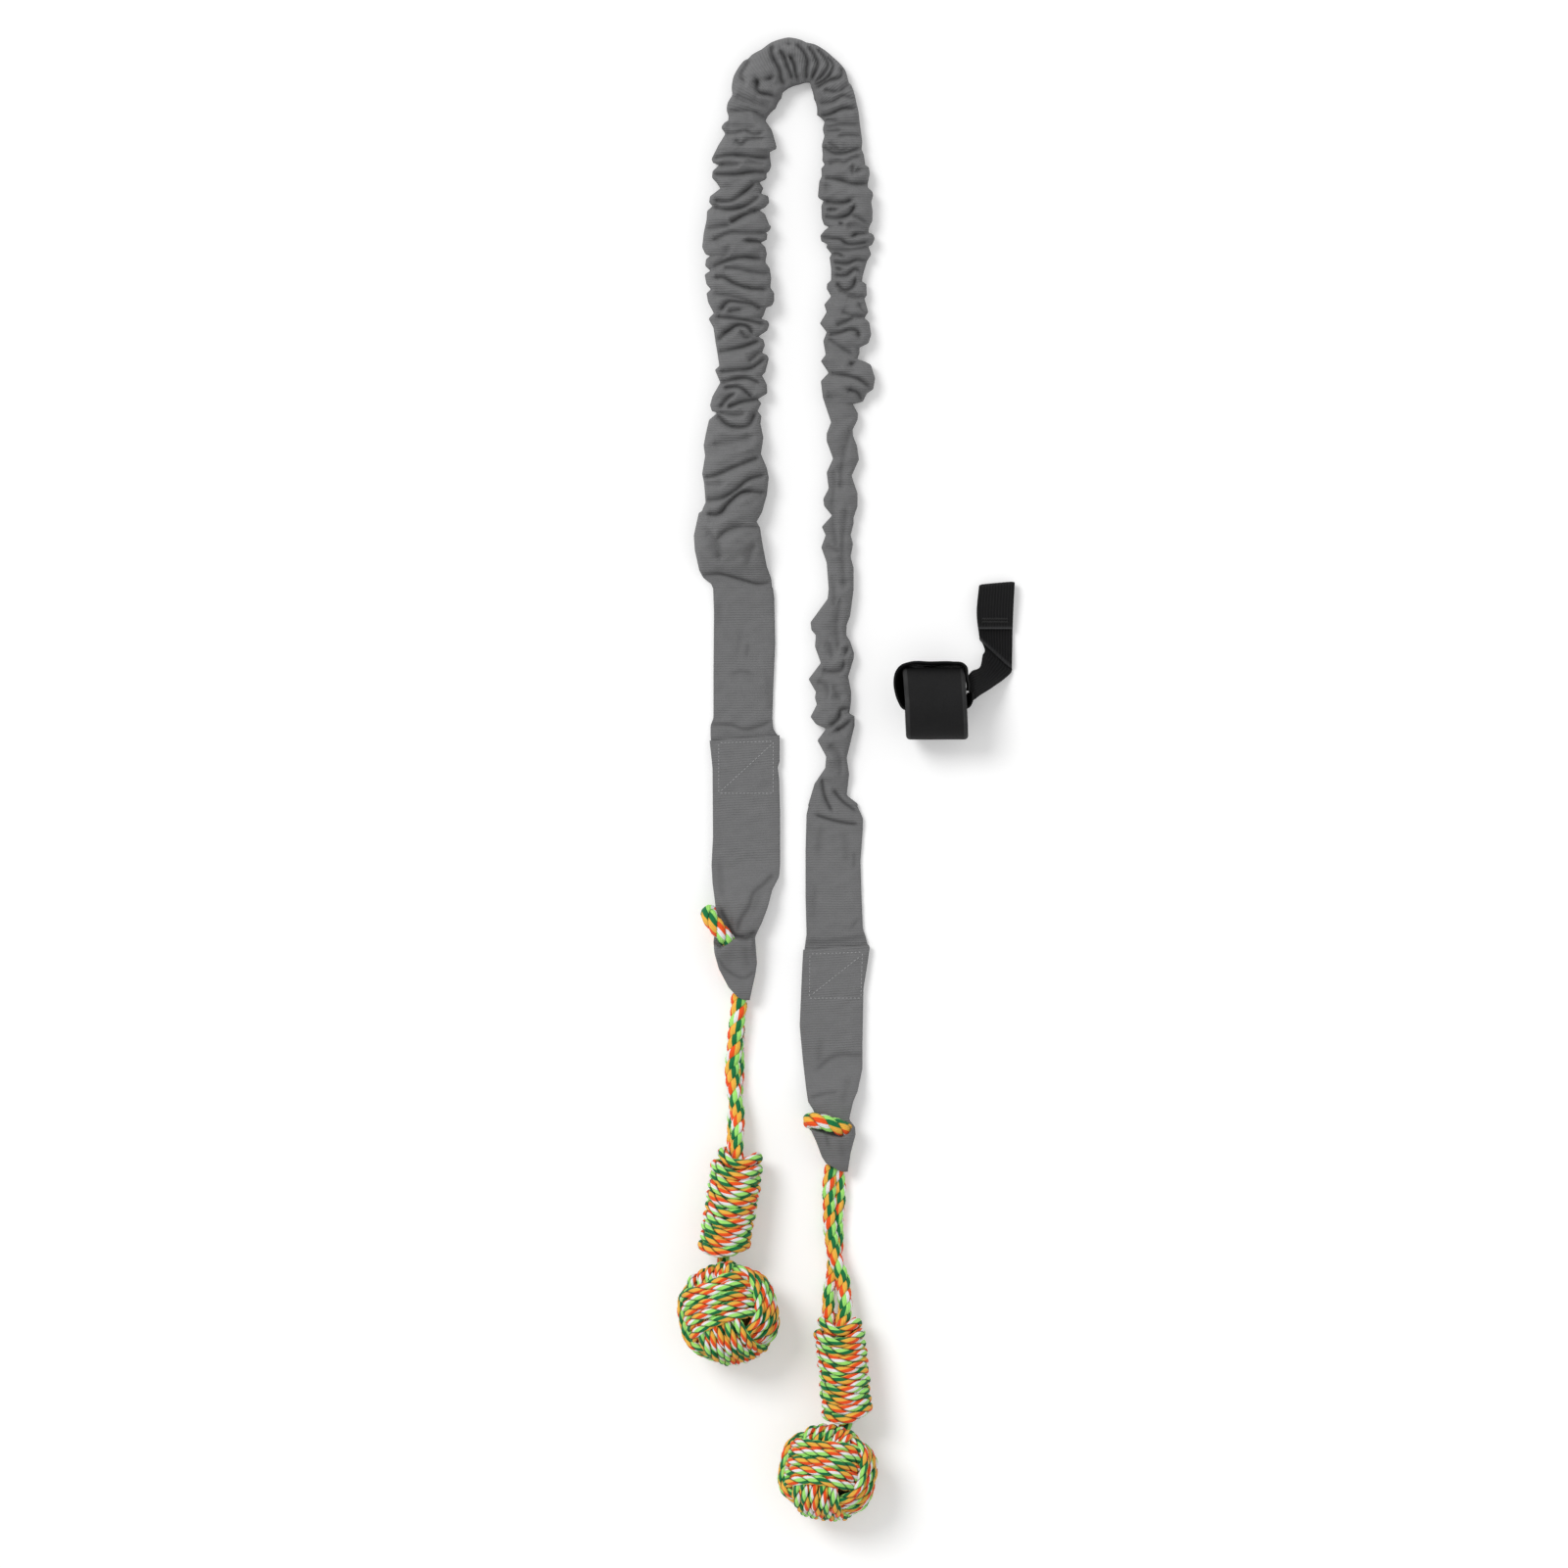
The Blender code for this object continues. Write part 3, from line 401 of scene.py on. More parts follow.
def mesh_piece(name, points, faces, places, finishes, finish_of=None):
    """A new object from points and faces, with its UV map's numbers given for each corner."""
    mesh = bpy.data.meshes.new(name)
    mesh.from_pydata([tuple(point) for point in points], [], faces)
    layer = mesh.uv_layers.new(name="cloth")
    layer.data.foreach_set("uv", np.array(places, np.float32).reshape(-1))
    for finish in finishes:
        mesh.materials.append(finish)
    if finish_of is not None:
        mesh.polygons.foreach_set("material_index", finish_of)
    mesh.polygons.foreach_set("use_smooth", [True] * len(mesh.polygons))
    mesh.update()
    made = bpy.data.objects.new(name, mesh)
    bpy.context.scene.collection.objects.link(made)
    return made


def twisted_rope(name, line, diameter=ROPE_DIAMETER, lay=LAY, turned=0.0, away=None):
    """Three strands wound round an evenly spaced line; the diameter may be a (start, end) pair."""
    sides, others = carried_frames(line, away)
    gone = lengths_along(line)
    thick = np.interp(gone, (0, gone[-1]), np.broadcast_to(diameter, 2))[:, None]
    strand, offset = thick * 0.30, thick * 0.20
    shown = (gone / lay + turned / (2 * np.pi)) * LAY
    around = np.arange(STRAND_SIDES + 1) / STRAND_SIDES
    points, faces, places, finish_of = [], [], [], []
    for which in range(3):
        angle = 2 * np.pi * (gone / lay + which / 3) + turned
        outward = np.cos(angle)[:, None] * sides + np.sin(angle)[:, None] * others
        middles = line + outward * offset
        strand_ways = unit(np.gradient(middles, axis=0))
        outward = unit(outward - strand_ways * (outward * strand_ways).sum(1)[:, None])
        beside = np.cross(strand_ways, outward)
        first = len(points)
        for ring in range(len(line)):
            shrink = STRAND_END if ring in (0, len(line) - 1) else 1.0
            for k in range(STRAND_SIDES):
                turn = 2 * math.pi * k / STRAND_SIDES - math.pi
                points.append(middles[ring] + strand[ring] * shrink * (
                    math.cos(turn) * outward[ring] + math.sin(turn) * beside[ring]))
        new_faces, new_places = tube_faces(around, shown, 0.5, first)
        faces += new_faces
        places += new_places
        finish_of += [which] * len(new_faces)
    made = mesh_piece(name, points, faces, places, STRAND_FINISHES, finish_of)
    print(name, "is", round(float(gone[-1]) * 1000), "mm long with", len(faces), "faces")
    return made


# %% [markdown]
# ## The sides of the toy
# The left and right sides are alike, so each is described once. Where its strap starts and ends
# and how its grip and ball lie are the CAD model's own numbers, repeated so that ropes and cloth
# lie where their solids do. The ways of its ropes were read from the photograph: each row
# is a place in steps of the picture, with a height in metres.

# %% The toy's measures
LEG_TOP_Y = 0.4359
CAD_ROPE_RADIUS = 0.0040
TOUCH, ROPE_GAP = 0.0003, 0.0005
FLOOR_ROPE_Z = CAD_ROPE_RADIUS + TOUCH
PIVOT_REACH = CAD_ROPE_RADIUS + TOUCH
STRAP_LIFT = FLOOR_ROPE_Z + CAD_ROPE_RADIUS + ROPE_GAP
GRIP_TOP_HEIGHT, GRIP_BOTTOM_HEIGHT = 0.0204, 0.0245
BALL_HEIGHT, BALL_PIVOT_DEPTH = 0.0332, 0.006

LEFT = {
    "name": "left", "tip_x": -0.07139, "strap_y": LEG_TOP_Y - 0.304, "strap_length": 0.2856,
    "rise": (0.67, 0.78),
    "neck_length": 0.1096, "crossing": (0.64, -0.022), "grip_shift": -0.040,
    "grip_run": (-0.0102, -0.0633), "ball_run": (0.0040, -0.0394),
    "neck_front": [
        (755.4, 1015, 0.0064), (754.8, 1020, 0.0068), (754.4, 1029, 0.0075), (752.6, 1045, 0.0078),
        (750.5, 1060, 0.0078), (750, 1073, 0.0078), (748.6, 1081, 0.0078), (747.8, 1096, 0.0085),
        (748.7, 1107, 0.0095), (749.8, 1115, 0.0105), (751.3, 1125, 0.0115), (753.2, 1135, 0.0125),
        (753.3, 1150, 0.0155), (752.5, 1162, 0.0180), (752.7, 1180, 0.0215), (752.5, 1194, 0.0225),
    ],
    "neck_back": [
        (756.5, 1015, 0.0048), (755, 1029, 0.0048), (754, 1060, 0.0048), (754, 1081, 0.0048),
        (753.5, 1100, 0.0050), (752, 1122, 0.0058), (749.5, 1135, 0.0070), (749, 1150, 0.0100),
        (748.5, 1165, 0.0140), (748.5, 1180, 0.0175), (748.5, 1194, 0.0185),
    ],
    "neck_thick": (0.0122, 0.0095),
    "hitch": [
        (753, 1008, 0.0062), (746, 990, 0.0062), (741, 967, 0.0062), (736, 947, 0.0064),
        (730, 935, 0.0080), (724.3, 931.5, 0.0125), (724, 934, 0.0175), (728, 941, 0.0200),
        (735, 950, 0.0198), (740.5, 957, 0.0175), (744, 962.5, 0.0140), (746.5, 968, 0.0110),
    ],
    "hitch_back": [
        (760, 1008, 0.0048), (761, 990, 0.0048), (762, 972, 0.0048), (763, 956, 0.0048),
    ],
    "hitch_thick": 0.0118, "hitch_turned": 1.1,
}
RIGHT = {
    "name": "right", "tip_x": -0.005714, "strap_y": LEG_TOP_Y - 0.455, "strap_length": 0.2543,
    "rise": (0.70, 0.82),
    "neck_length": 0.1055, "crossing": (0.517, 0.007), "grip_shift": 0.0066,
    "grip_run": (0.0061, -0.0626), "ball_run": (-0.0142, -0.0347),
    "neck_front": [
        (849.2, 1189, 0.0064), (848.5, 1195, 0.0068), (847.1, 1205, 0.0075), (846.7, 1215, 0.0078),
        (847.1, 1230, 0.0078), (847.5, 1245, 0.0080), (847.9, 1255, 0.0085), (848.7, 1262, 0.0090),
        (850, 1270, 0.0097), (852, 1282, 0.0110), (855, 1290, 0.0115), (857.8, 1298, 0.0120),
        (860.5, 1305, 0.0125), (861.3, 1315, 0.0140), (862.5, 1325, 0.0160), (863, 1336, 0.0180),
        (860.5, 1346, 0.0200), (859, 1356, 0.0215), (858, 1366, 0.0220),
    ],
    "neck_back": [
        (857, 1189, 0.0050), (856.5, 1200, 0.0050), (857.4, 1210, 0.0050), (857, 1225, 0.0050),
        (855.5, 1240, 0.0050), (855, 1255, 0.0050), (854.8, 1272, 0.0052), (853, 1282, 0.0055),
        (850.7, 1290, 0.0060), (850, 1300, 0.0070), (848.5, 1309, 0.0085), (846.5, 1318, 0.0105),
        (845.9, 1330, 0.0135), (845.8, 1342, 0.0165), (847, 1354, 0.0185), (848.5, 1366, 0.0190),
    ],
    "neck_thick": (0.0102, 0.0105),
    "hitch": [
        (854, 1180, 0.0062), (849, 1168, 0.0062), (842, 1157, 0.0062), (836, 1150, 0.0064),
        (830.5, 1146, 0.0082), (827.5, 1144, 0.0128), (829.5, 1143.2, 0.0182), (836, 1144, 0.0203),
        (845, 1146.3, 0.0205), (854, 1149, 0.0200), (860, 1151.5, 0.0178), (863.5, 1153.5, 0.0140),
        (865, 1156, 0.0110),
    ],
    "hitch_back": [
        (860, 1182, 0.0048), (861, 1171, 0.0048), (862, 1160, 0.0048), (862, 1150, 0.0048),
    ],
    "hitch_thick": 0.0115, "hitch_turned": 2.2,
}


def row_at(rows, along):
    """The row at a share of the way, read from a smooth curve through rows sorted by it."""
    last = len(rows) - 2
    index = min(max(sum(row[0] <= along for row in rows) - 1, 0), last)
    before, start, end, after = (rows[min(max(index + k, 0), last + 1)] for k in (-1, 0, 1, 2))
    span = end[0] - start[0]
    t = (along - start[0]) / span
    found = []
    for column in range(1, len(start)):
        slope_in = (end[column] - before[column]) / (end[0] - before[0]) * span
        slope_out = (after[column] - start[column]) / (after[0] - start[0]) * span
        found.append(
            (2 * t**3 - 3 * t**2 + 1) * start[column] + (t**3 - 2 * t**2 + t) * slope_in
            + (3 * t**2 - 2 * t**3) * end[column] + (t**3 - t**2) * slope_out
        )
    return found


def smooth_share(value):
    """0 below 0, 1 above 1, and smooth between, for a number or an array."""
    value = np.clip(value, 0.0, 1.0)
    return value * value * (3 - 2 * value)


def settle(side):
    """Works out the places where a side's pieces meet."""
    tip = Vector((side["tip_x"], side["strap_y"] - TOUCH / 2 - side["strap_length"], 0))
    side["pivot"] = Vector((tip.x, tip.y - PIVOT_REACH - TOUCH, FLOOR_ROPE_Z))
    length = side["neck_length"]
    top_x = side["pivot"].x + side["grip_shift"] * length
    top_y = side["pivot"].y - length
    side["grip_top"] = Vector((top_x, top_y, GRIP_TOP_HEIGHT))
    run = side["grip_run"]
    side["grip_bottom"] = Vector((top_x + run[0], top_y + run[1], GRIP_BOTTOM_HEIGHT))
    way = (side["grip_bottom"] - side["grip_top"]).normalized()
    side["ball_pivot"] = side["grip_bottom"] - way * (BALL_PIVOT_DEPTH - TOUCH - CAD_ROPE_RADIUS)
    bottom, run = side["grip_bottom"], side["ball_run"]
    side["ball"] = Vector((bottom.x + run[0], bottom.y + run[1], BALL_HEIGHT))
    pivot, (down, sideways) = side["pivot"], side["crossing"]
    side["crossing"] = Vector((pivot.x + sideways * length, pivot.y - down * length, 0))
    for key in ("pivot", "grip_top", "ball"):
        print(side["name"], key, tuple(round(value, 4) for value in side[key]))


for side in (LEFT, RIGHT):
    settle(side)

# %% [markdown]
# ## Necks
# Two ropes run out of the strap's eye, one over the other, part and cross, and enter the grip.
# They are the toy's only free cords. Each is laid along its own line. They cross where the CAD
# model has its hinge.

# %% Neck ropes
BACK_NECK_THICK = 0.0092


def neck_ropes(side):
    name = side["name"]
    front, back = ("two", "one") if side is LEFT else ("one", "two")
    for label, rows, thick, turned in (
        (front, side["neck_front"], side["neck_thick"], 0.4),
        (back, side["neck_back"], BACK_NECK_THICK, 2.6),
    ):
        line = even_line([spot(*row) for row in rows], ROPE_STEP)
        rope = twisted_rope(f"{name}_neck_rope_{label}", line, thick, turned=turned)
        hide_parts(f"{name}_upper_neck_strand_{label}", f"{name}_lower_neck_strand_{label}")
        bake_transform(rope)


for side in (LEFT, RIGHT):
    neck_ropes(side)

# %% [markdown]
# ## Hitches
# Under the strap's tip the rope parts. One end runs up beneath the strap, comes round its left
# edge and lies over the top, where it dips under the folded cloth's lip. The other stays beneath.

# %% Hitch ropes
for side in (LEFT, RIGHT):
    name = side["name"]
    over, under = (
        even_line([spot(*row) for row in side[key]], ROPE_STEP) for key in ("hitch", "hitch_back")
    )
    hitch = twisted_rope(f"{name}_hitch", over, side["hitch_thick"], turned=side["hitch_turned"])
    back = twisted_rope(f"{name}_hitch_back", under, 0.0080, turned=2.0)
    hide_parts(f"{name}_rope_hitch")
    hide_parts(f"{name}_hitch_back_strand")
    for rope in (hitch, back):
        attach(rope, f"{name}_strap")

# %% [markdown]
# ## Grips
# The grip is the same rope wound tightly round its own neck. Nine turns lie side by side below a
# loose collar, and both ends are tucked in on the underside. A winding is one long line on a
# cylinder. Its turns bow a little on top and lean, more on one grip than on the other. The bundle
# inside is coloured dark as painted shade, so it shows only as a dark gap between turns.

# %% Grip windings


def along_axis(side):
    top, bottom = side["grip_top"], side["grip_bottom"]
    way = (bottom - top).normalized()
    across = way.cross(Vector((0, 0, 1))).normalized()
    return way, across, across.cross(way), (bottom - top).length


GRIP_TURNS, GRIP_ROPE, GRIP_LAY = 9, 0.0076, 0.029
POINTS_A_TURN, COLLAR_POINTS = 32, 32
GRIP_MARGIN, GRIP_BOW, LEAN_GAIN, COLLAR_TIGHT = 0.0015, 0.0062, 0.0025, 0.003
LEFT["grip_shape"], RIGHT["grip_shape"] = (0.0147, 0.0020), (0.0142, 0.0004)


def grip_line(side):
    """The winding's line, and the way outwards at each of its points."""
    way, across, upward, length = along_axis(side)
    radius, lean = side["grip_shape"]
    pitch = (length - 2 * GRIP_MARGIN) / GRIP_TURNS
    places = []
    for k in range(-COLLAR_POINTS, GRIP_TURNS * POINTS_A_TURN + 1):
        turn = k / POINTS_A_TURN
        angle = 2 * math.pi * turn - math.pi / 2
        collar = smooth_share(-2 * turn)
        on_top = max(math.sin(angle), 0.0) ** 2
        loose = 0.0003 * math.sin(2.3 * turn + 1) + 0.0002 * math.sin(7.1 * turn)
        loose -= COLLAR_TIGHT * collar
        around = (across * math.cos(angle) + upward * math.sin(angle)) * (radius + loose)
        leaning = (lean + LEAN_GAIN * max(turn, 0) / GRIP_TURNS) * math.cos(angle)
        shift = GRIP_BOW * (on_top - 0.5) + leaning + 0.0003 * math.sin(5.0 * turn)
        shift -= 0.0016 * collar * (1 - on_top) + 0.0006 * collar
        place = side["grip_top"] + way * (GRIP_MARGIN + pitch * turn + shift) + around
        places.append((place.x, place.y, max(place.z, GRIP_ROPE / 2 + TOUCH)))
    line = even_line(places, ROPE_STEP)
    axis, top = np.array(way), np.array(side["grip_top"])
    away = line - top
    return line, away - axis * (away @ axis)[:, None]


def bundle_shade_finish():
    """Tangled yarn ends, painted dark as the shade between the turns that hide them."""
    made, tree, shader = plain_shader("Rope bundle painted shade", (0.05, 0.05, 0.03, 1), 0.9)
    where = tree.nodes.new("ShaderNodeTexCoord")
    grain = noise_at(tree, where.outputs["Object"], 420.0)
    ramp = tree.nodes.new("ShaderNodeValToRGB")
    # Painted shade: both stops are rope colours darkened, dark green and a brownish amber.
    stops = ((0.45, (0.008, 0.075, 0.022, 1)), (0.62, (0.20, 0.10, 0.02, 1)))
    for element, (place, colour) in zip(ramp.color_ramp.elements, stops):
        element.position, element.color = place, colour
    tree.links.new(grain, ramp.inputs["Fac"])
    tree.links.new(ramp.outputs["Color"], shader.inputs["Base Color"])
    bumped(tree, shader, grain, 0.0008)
    return made


SHADED_BUNDLE = bundle_shade_finish()
BUNDLE_RADIUS, BUNDLE_SHORTER, BUNDLE_ROUND = 0.0112, 0.007, 0.004


def grip_bundle(side):
    """The bundle inside a winding, a cylinder drawn in at both ends."""
    way, _, _, length = along_axis(side)
    bpy.ops.object.select_all(action="DESELECT")
    bpy.ops.mesh.primitive_cylinder_add(vertices=32, radius=BUNDLE_RADIUS,
                                        depth=length - BUNDLE_SHORTER)
    made = bpy.context.object
    made.name = f"{side['name']}_grip_bundle"
    bpy.ops.object.mode_set(mode="EDIT")
    bpy.ops.mesh.select_all(action="SELECT")
    bpy.ops.mesh.bevel(offset=BUNDLE_ROUND, segments=4, affect="EDGES")
    bpy.ops.object.mode_set(mode="OBJECT")
    bpy.ops.object.shade_smooth_by_angle(angle=math.radians(40))
    turn = way.to_track_quat("Z", "Y").to_matrix().to_4x4()
    made.data.transform(Matrix.Translation((side["grip_top"] + side["grip_bottom"]) / 2) @ turn)
    made.data.materials.append(SHADED_BUNDLE)
    return made


for side in (LEFT, RIGHT):
    name = side["name"]
    line, away = grip_line(side)
    winding = twisted_rope(f"{name}_grip_rope", line, GRIP_ROPE, GRIP_LAY, 0.7, away)
    bundle = grip_bundle(side)
    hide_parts(f"{name}_grip_winding")
    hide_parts(f"{name}_grip_core")
    for piece, slot in ((winding, "rope_orange"), (bundle, "rope_green")):
        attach(piece, f"{name}_grip")

# %% [markdown]
# ## Balls
# The ball is a monkey's fist: three bands of five passes, square to each other, and each band lies
# over one neighbour and under the other. One line makes a band: it goes round as a rounded square
# that is wide where it lies outside and narrow where it goes under, and it steps over by one rope
# where it is hidden. The same line is turned twice for the other bands.

# %% Ball ropes
BALL_PASSES, BALL_PITCH, BALL_ROPE = 5, 0.0064, 0.0074
BALL_OUTSIDE, BALL_INSIDE, BALL_POWER = 0.0313, 0.0250, 3.0
BALL_LAY, HEART_RADIUS, TIE_ROPE, TIE_HALF = 0.026, 0.0240, 0.0095, 0.006
BALL_POINTS, BAND_DIP, BAND_SPREAD, BAND_WANDER = 40, 0.0024, 0.13, 0.0004


def band_line(seed):
    """One band about the ball's own Z: outside at X, and under the next band at Y."""
    shake = random.Random(seed)
    waves = [(shake.uniform(0, 6.3), shake.uniform(0.6, 1.4)) for _ in range(2)]
    count = BALL_PASSES * BALL_POINTS
    half_band = (BALL_PASSES - 1) / 2 * BALL_PITCH
    places = []
    for k in range(count + 1):
        turn = BALL_PASSES * k / count
        shifts = 1 + sum(smooth_share((turn - j) / 0.5 + 0.5) for j in range(1, BALL_PASSES))
        offset = (shifts - (BALL_PASSES + 1) / 2) * BALL_PITCH
        angle = 2 * math.pi * turn + math.pi / 2
        out = (offset / half_band) ** 2
        wander = BAND_WANDER * math.sin(waves[0][1] * angle + waves[0][0])
        wide = BALL_OUTSIDE - BAND_DIP * out + wander
        deep = BALL_INSIDE - 0.0004 * out
        offset *= 1 + BAND_SPREAD * math.sin(2 * angle) ** 2
        offset += BAND_WANDER * math.sin(waves[1][1] * 2.7 * angle + waves[1][0])
        reach = (
            abs(math.cos(angle) / wide) ** BALL_POWER + abs(math.sin(angle) / deep) ** BALL_POWER
        ) ** (-1 / BALL_POWER)
        places.append((reach * math.cos(angle), reach * math.sin(angle), offset))
    return places


def ball_axes(side):
    toward = side["ball_pivot"] - side["ball"]
    toward = Vector((toward.x, toward.y, 0)).normalized()
    axes = [toward.cross(Vector((0, 0, 1))), toward, Vector((0, 0, 1))]
    for axis, degrees in zip("ZYX", side["ball_turns"]):
        for way in axes:
            way.rotate(Matrix.Rotation(math.radians(degrees), 3, axis))
    return axes


def heart(side):
    """The padding inside the ball, in painted shade, which only darkens the gaps between ropes."""
    bpy.ops.object.select_all(action="DESELECT")
    bpy.ops.mesh.primitive_ico_sphere_add(subdivisions=4, radius=HEART_RADIUS)
    made = bpy.context.object
    made.name = f"{side['name']}_ball_heart"
    for corner in made.data.vertices:
        corner.co *= 1 + 0.05 * noise.noise(corner.co * 180)
    sized = Matrix.Diagonal((*side["ball_size"], 1))
    made.data.transform(Matrix.Translation(side["ball"]) @ sized)
    bpy.ops.object.shade_smooth()
    made.data.materials.append(SHADED_BUNDLE)
    return made


LEFT["ball_turns"], RIGHT["ball_turns"] = (9.0, -24.0, -17.0), (11.0, -14.0, -18.0)
LEFT["ball_size"], RIGHT["ball_size"] = (0.984, 1.017, 0.93), (0.969, 0.942, 0.93)
for side in (LEFT, RIGHT):
    name = side["name"]
    axes = ball_axes(side)
    for turn, label in enumerate(("first", "second", "third")):
        places = []
        for place in band_line(turn + 5 * len(name)):
            parts = [place[(axis - turn) % 3] for axis in range(3)]
            reach = sum((axes[k] * parts[k] for k in range(3)), Vector())
            place = side["ball"] + reach * Vector(side["ball_size"])
            places.append((place.x, place.y, max(place.z, BALL_ROPE / 2 + TOUCH)))
        line = even_line(places, ROPE_STEP)
        away = line - np.array(side["ball"])
        band = twisted_rope(f"{name}_ball_band_{label}", line, BALL_ROPE, BALL_LAY, 1.3 * turn,
                            away)
        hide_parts(f"{name}_ball_wrap_{label}")
        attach(band, f"{name}_ball")
    core = heart(side)
    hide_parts(f"{name}_ball_core")
    inward = (side["ball"] - side["ball_pivot"]).normalized()
    tie = even_line([side["ball_pivot"] + inward * TIE_HALF * k for k in range(3)], ROPE_STEP)
    link = twisted_rope(f"{name}_ball_tie", tie, TIE_ROPE)
    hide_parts(f"{name}_ball_link")
    for piece, slot in ((core, "rope_green"), (link, "rope_orange")):
        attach(piece, f"{name}_ball")


# %% [markdown]
# ## The cloth
# Sleeve and straps are the same grey ribbed tape: fine ribs run across it, 1.7 mm apart, over a
# plain weave. Its colour carries painted shade, darker inside its folds, where light and camera
# hardly reach, and on its steep sides, so the mesh carries a number, `fold`, that says how deep in
# a fold each point lies, or how steep its side is.

# %% Cloth finish
RIB_PITCH = 0.0017


def tape_group():
    tree, given, out = node_group(
        "Ribbed tape",
        [("Across", "NodeSocketFloat", 0.0), ("Along", "NodeSocketFloat", 0.0)],
        [("Relief", "NodeSocketFloat"), ("Shade", "NodeSocketFloat")],
    )
    where = tree.nodes.new("ShaderNodeCombineXYZ")
    tree.links.new(given["Across"], where.inputs[0])
    tree.links.new(given["Along"], where.inputs[1])
    drift = noise_at(tree, where.outputs[0], 60.0)
    line = sums(tree, "MULTIPLY_ADD", drift, 0.0011, given["Along"])
    rib = sums(tree, "SINE", sums(tree, "MULTIPLY", line, 2 * math.pi / RIB_PITCH))
    grain = sums(tree, "SUBTRACT", noise_at(tree, where.outputs[0], 1500.0), 0.5)
    relief = sums(tree, "MULTIPLY_ADD", rib, 0.5, sums(tree, "MULTIPLY", grain, 1.1))
    tree.links.new(relief, out["Relief"])
    wide = sums(tree, "SUBTRACT", noise_at(tree, where.outputs[0], 110.0, 4.0), 0.5)
    shade = sums(tree, "MULTIPLY_ADD", wide, 0.22, 1.0)
    shade = sums(tree, "MULTIPLY_ADD", rib, 0.045, shade)
    tree.links.new(sums(tree, "MULTIPLY_ADD", grain, 0.35, shade), out["Shade"])
    return tree


RIBBED_TAPE = tape_group()


def tape_finish(name, colour):
    made, tree, shader = plain_shader(name, colour, 0.85)
    _, across, along = cloth_places(tree)
    tape = group_node(tree, RIBBED_TAPE, Across=across, Along=along)
    # Painted shade: the colour darkens by the mesh's `fold` number, in folds and on the steep
    # sides.
    dark = sums(tree, "MULTIPLY_ADD", mesh_number(tree, "fold"), -0.72, 1.0, clamp=True)
    shaded = tree.nodes.new("ShaderNodeHueSaturation")
    shaded.inputs["Color"].default_value = colour
    tree.links.new(sums(tree, "MULTIPLY", tape["Shade"], dark), shaded.inputs["Value"])
    tree.links.new(shaded.outputs["Color"], shader.inputs["Base Color"])
    bumped(tree, shader, tape["Relief"], 0.0004, 0.8)
    shader.inputs["Sheen Weight"].default_value = 0.12
    shader.inputs["Sheen Roughness"].default_value = 0.6
    return made


GREY_TAPE = tape_finish("Grey ribbed tape", (0.168, 0.168, 0.171, 1))

# %% [markdown]
# ## The sleeve
# It is a tube of tape, gathered over an elastic that is shorter than itself, so it lies in short
# folds that change with every pull. A cloth simulation would find folds of its own, but these
# should be the ones in the photograph, so they were drawn from it: two edge lines, and a
# few strokes along each fold with a note of how deep it is.

# %% Edges and folds, in steps of the picture
LEFT_OUTER = [
    (805, 38.7), (787, 44), (778, 51), (767, 57), (764, 61), (760, 62), (754, 69.5), (749, 78.5),
    (747, 90), (748, 97.5), (742.5, 106.5), (742, 114), (744, 118.5), (736, 131), (741, 137),
    (733.5, 149), (726.5, 163), (728, 167), (734.5, 169), (727.5, 175.5), (727, 182), (732.5, 188),
    (735.5, 193), (725, 201), (724, 207), (727.5, 211), (722, 216), (721.5, 225), (718.5, 239),
    (717, 253), (720.5, 260.5), (726, 261.5), (721, 265), (720, 272), (725.5, 277), (719.5, 281),
    (721.5, 291), (726, 296), (721.5, 300), (723, 309), (729, 320.5), (727, 322), (723.5, 326),
    (728.5, 335), (730.5, 349), (733, 364), (734.5, 374), (730, 378), (735.5, 391), (727.5, 405),
    (725, 414), (727, 420.5), (733, 421.5), (724, 429), (721, 442), (718.5, 455), (720, 466),
    (717, 484), (719, 494), (720.5, 513.5), (718, 518.5), (717, 522), (713.5, 524), (708.5, 547),
    (709.5, 562), (714, 582.5), (718, 590), (726.5, 596.5), (728, 602),
]
LEFT_INNER = [
    (782, 124.5), (788, 133), (793.5, 152.5), (786, 155.5), (786.5, 163), (787.5, 170),
    (785.5, 175.5), (782.5, 177.5), (783, 182), (780.5, 185), (775, 186), (779.5, 192.5),
    (777, 198.5), (784.5, 200.5), (785.5, 207.5), (781, 212.5), (775, 215), (781, 219),
    (785.5, 230), (787.5, 232), (785.5, 236.5), (781.5, 238), (783.5, 239.5), (783, 245.5),
    (776.5, 248), (781.5, 253), (783, 259.5), (781.5, 268.5), (786, 274.5), (787.5, 285),
    (786.5, 294), (790.5, 300), (790.5, 308), (788, 313), (782.5, 314), (779.5, 323), (777, 326),
    (784, 328), (785.5, 332), (783.5, 338), (774, 344), (779.5, 347), (781, 353), (778, 361),
    (783, 362.5), (785, 366.5), (781.5, 380.5), (778, 383.5), (783, 393), (783.5, 402),
    (773.5, 408), (777.5, 412), (773.5, 420), (777.5, 425), (776.5, 433), (779.5, 447), (777, 464),
    (783, 478), (785, 488), (783, 506), (778, 523.5), (772.5, 533), (776, 539), (779, 558),
    (783, 578.5), (787.5, 591), (788.5, 602),
]
BEND_INNER = [
    (834, 118), (831, 101.5), (828.5, 91), (827, 85), (822.5, 85), (816.5, 87), (805, 91),
    (799, 95.5), (798, 101), (792, 111.5), (782, 123),
]
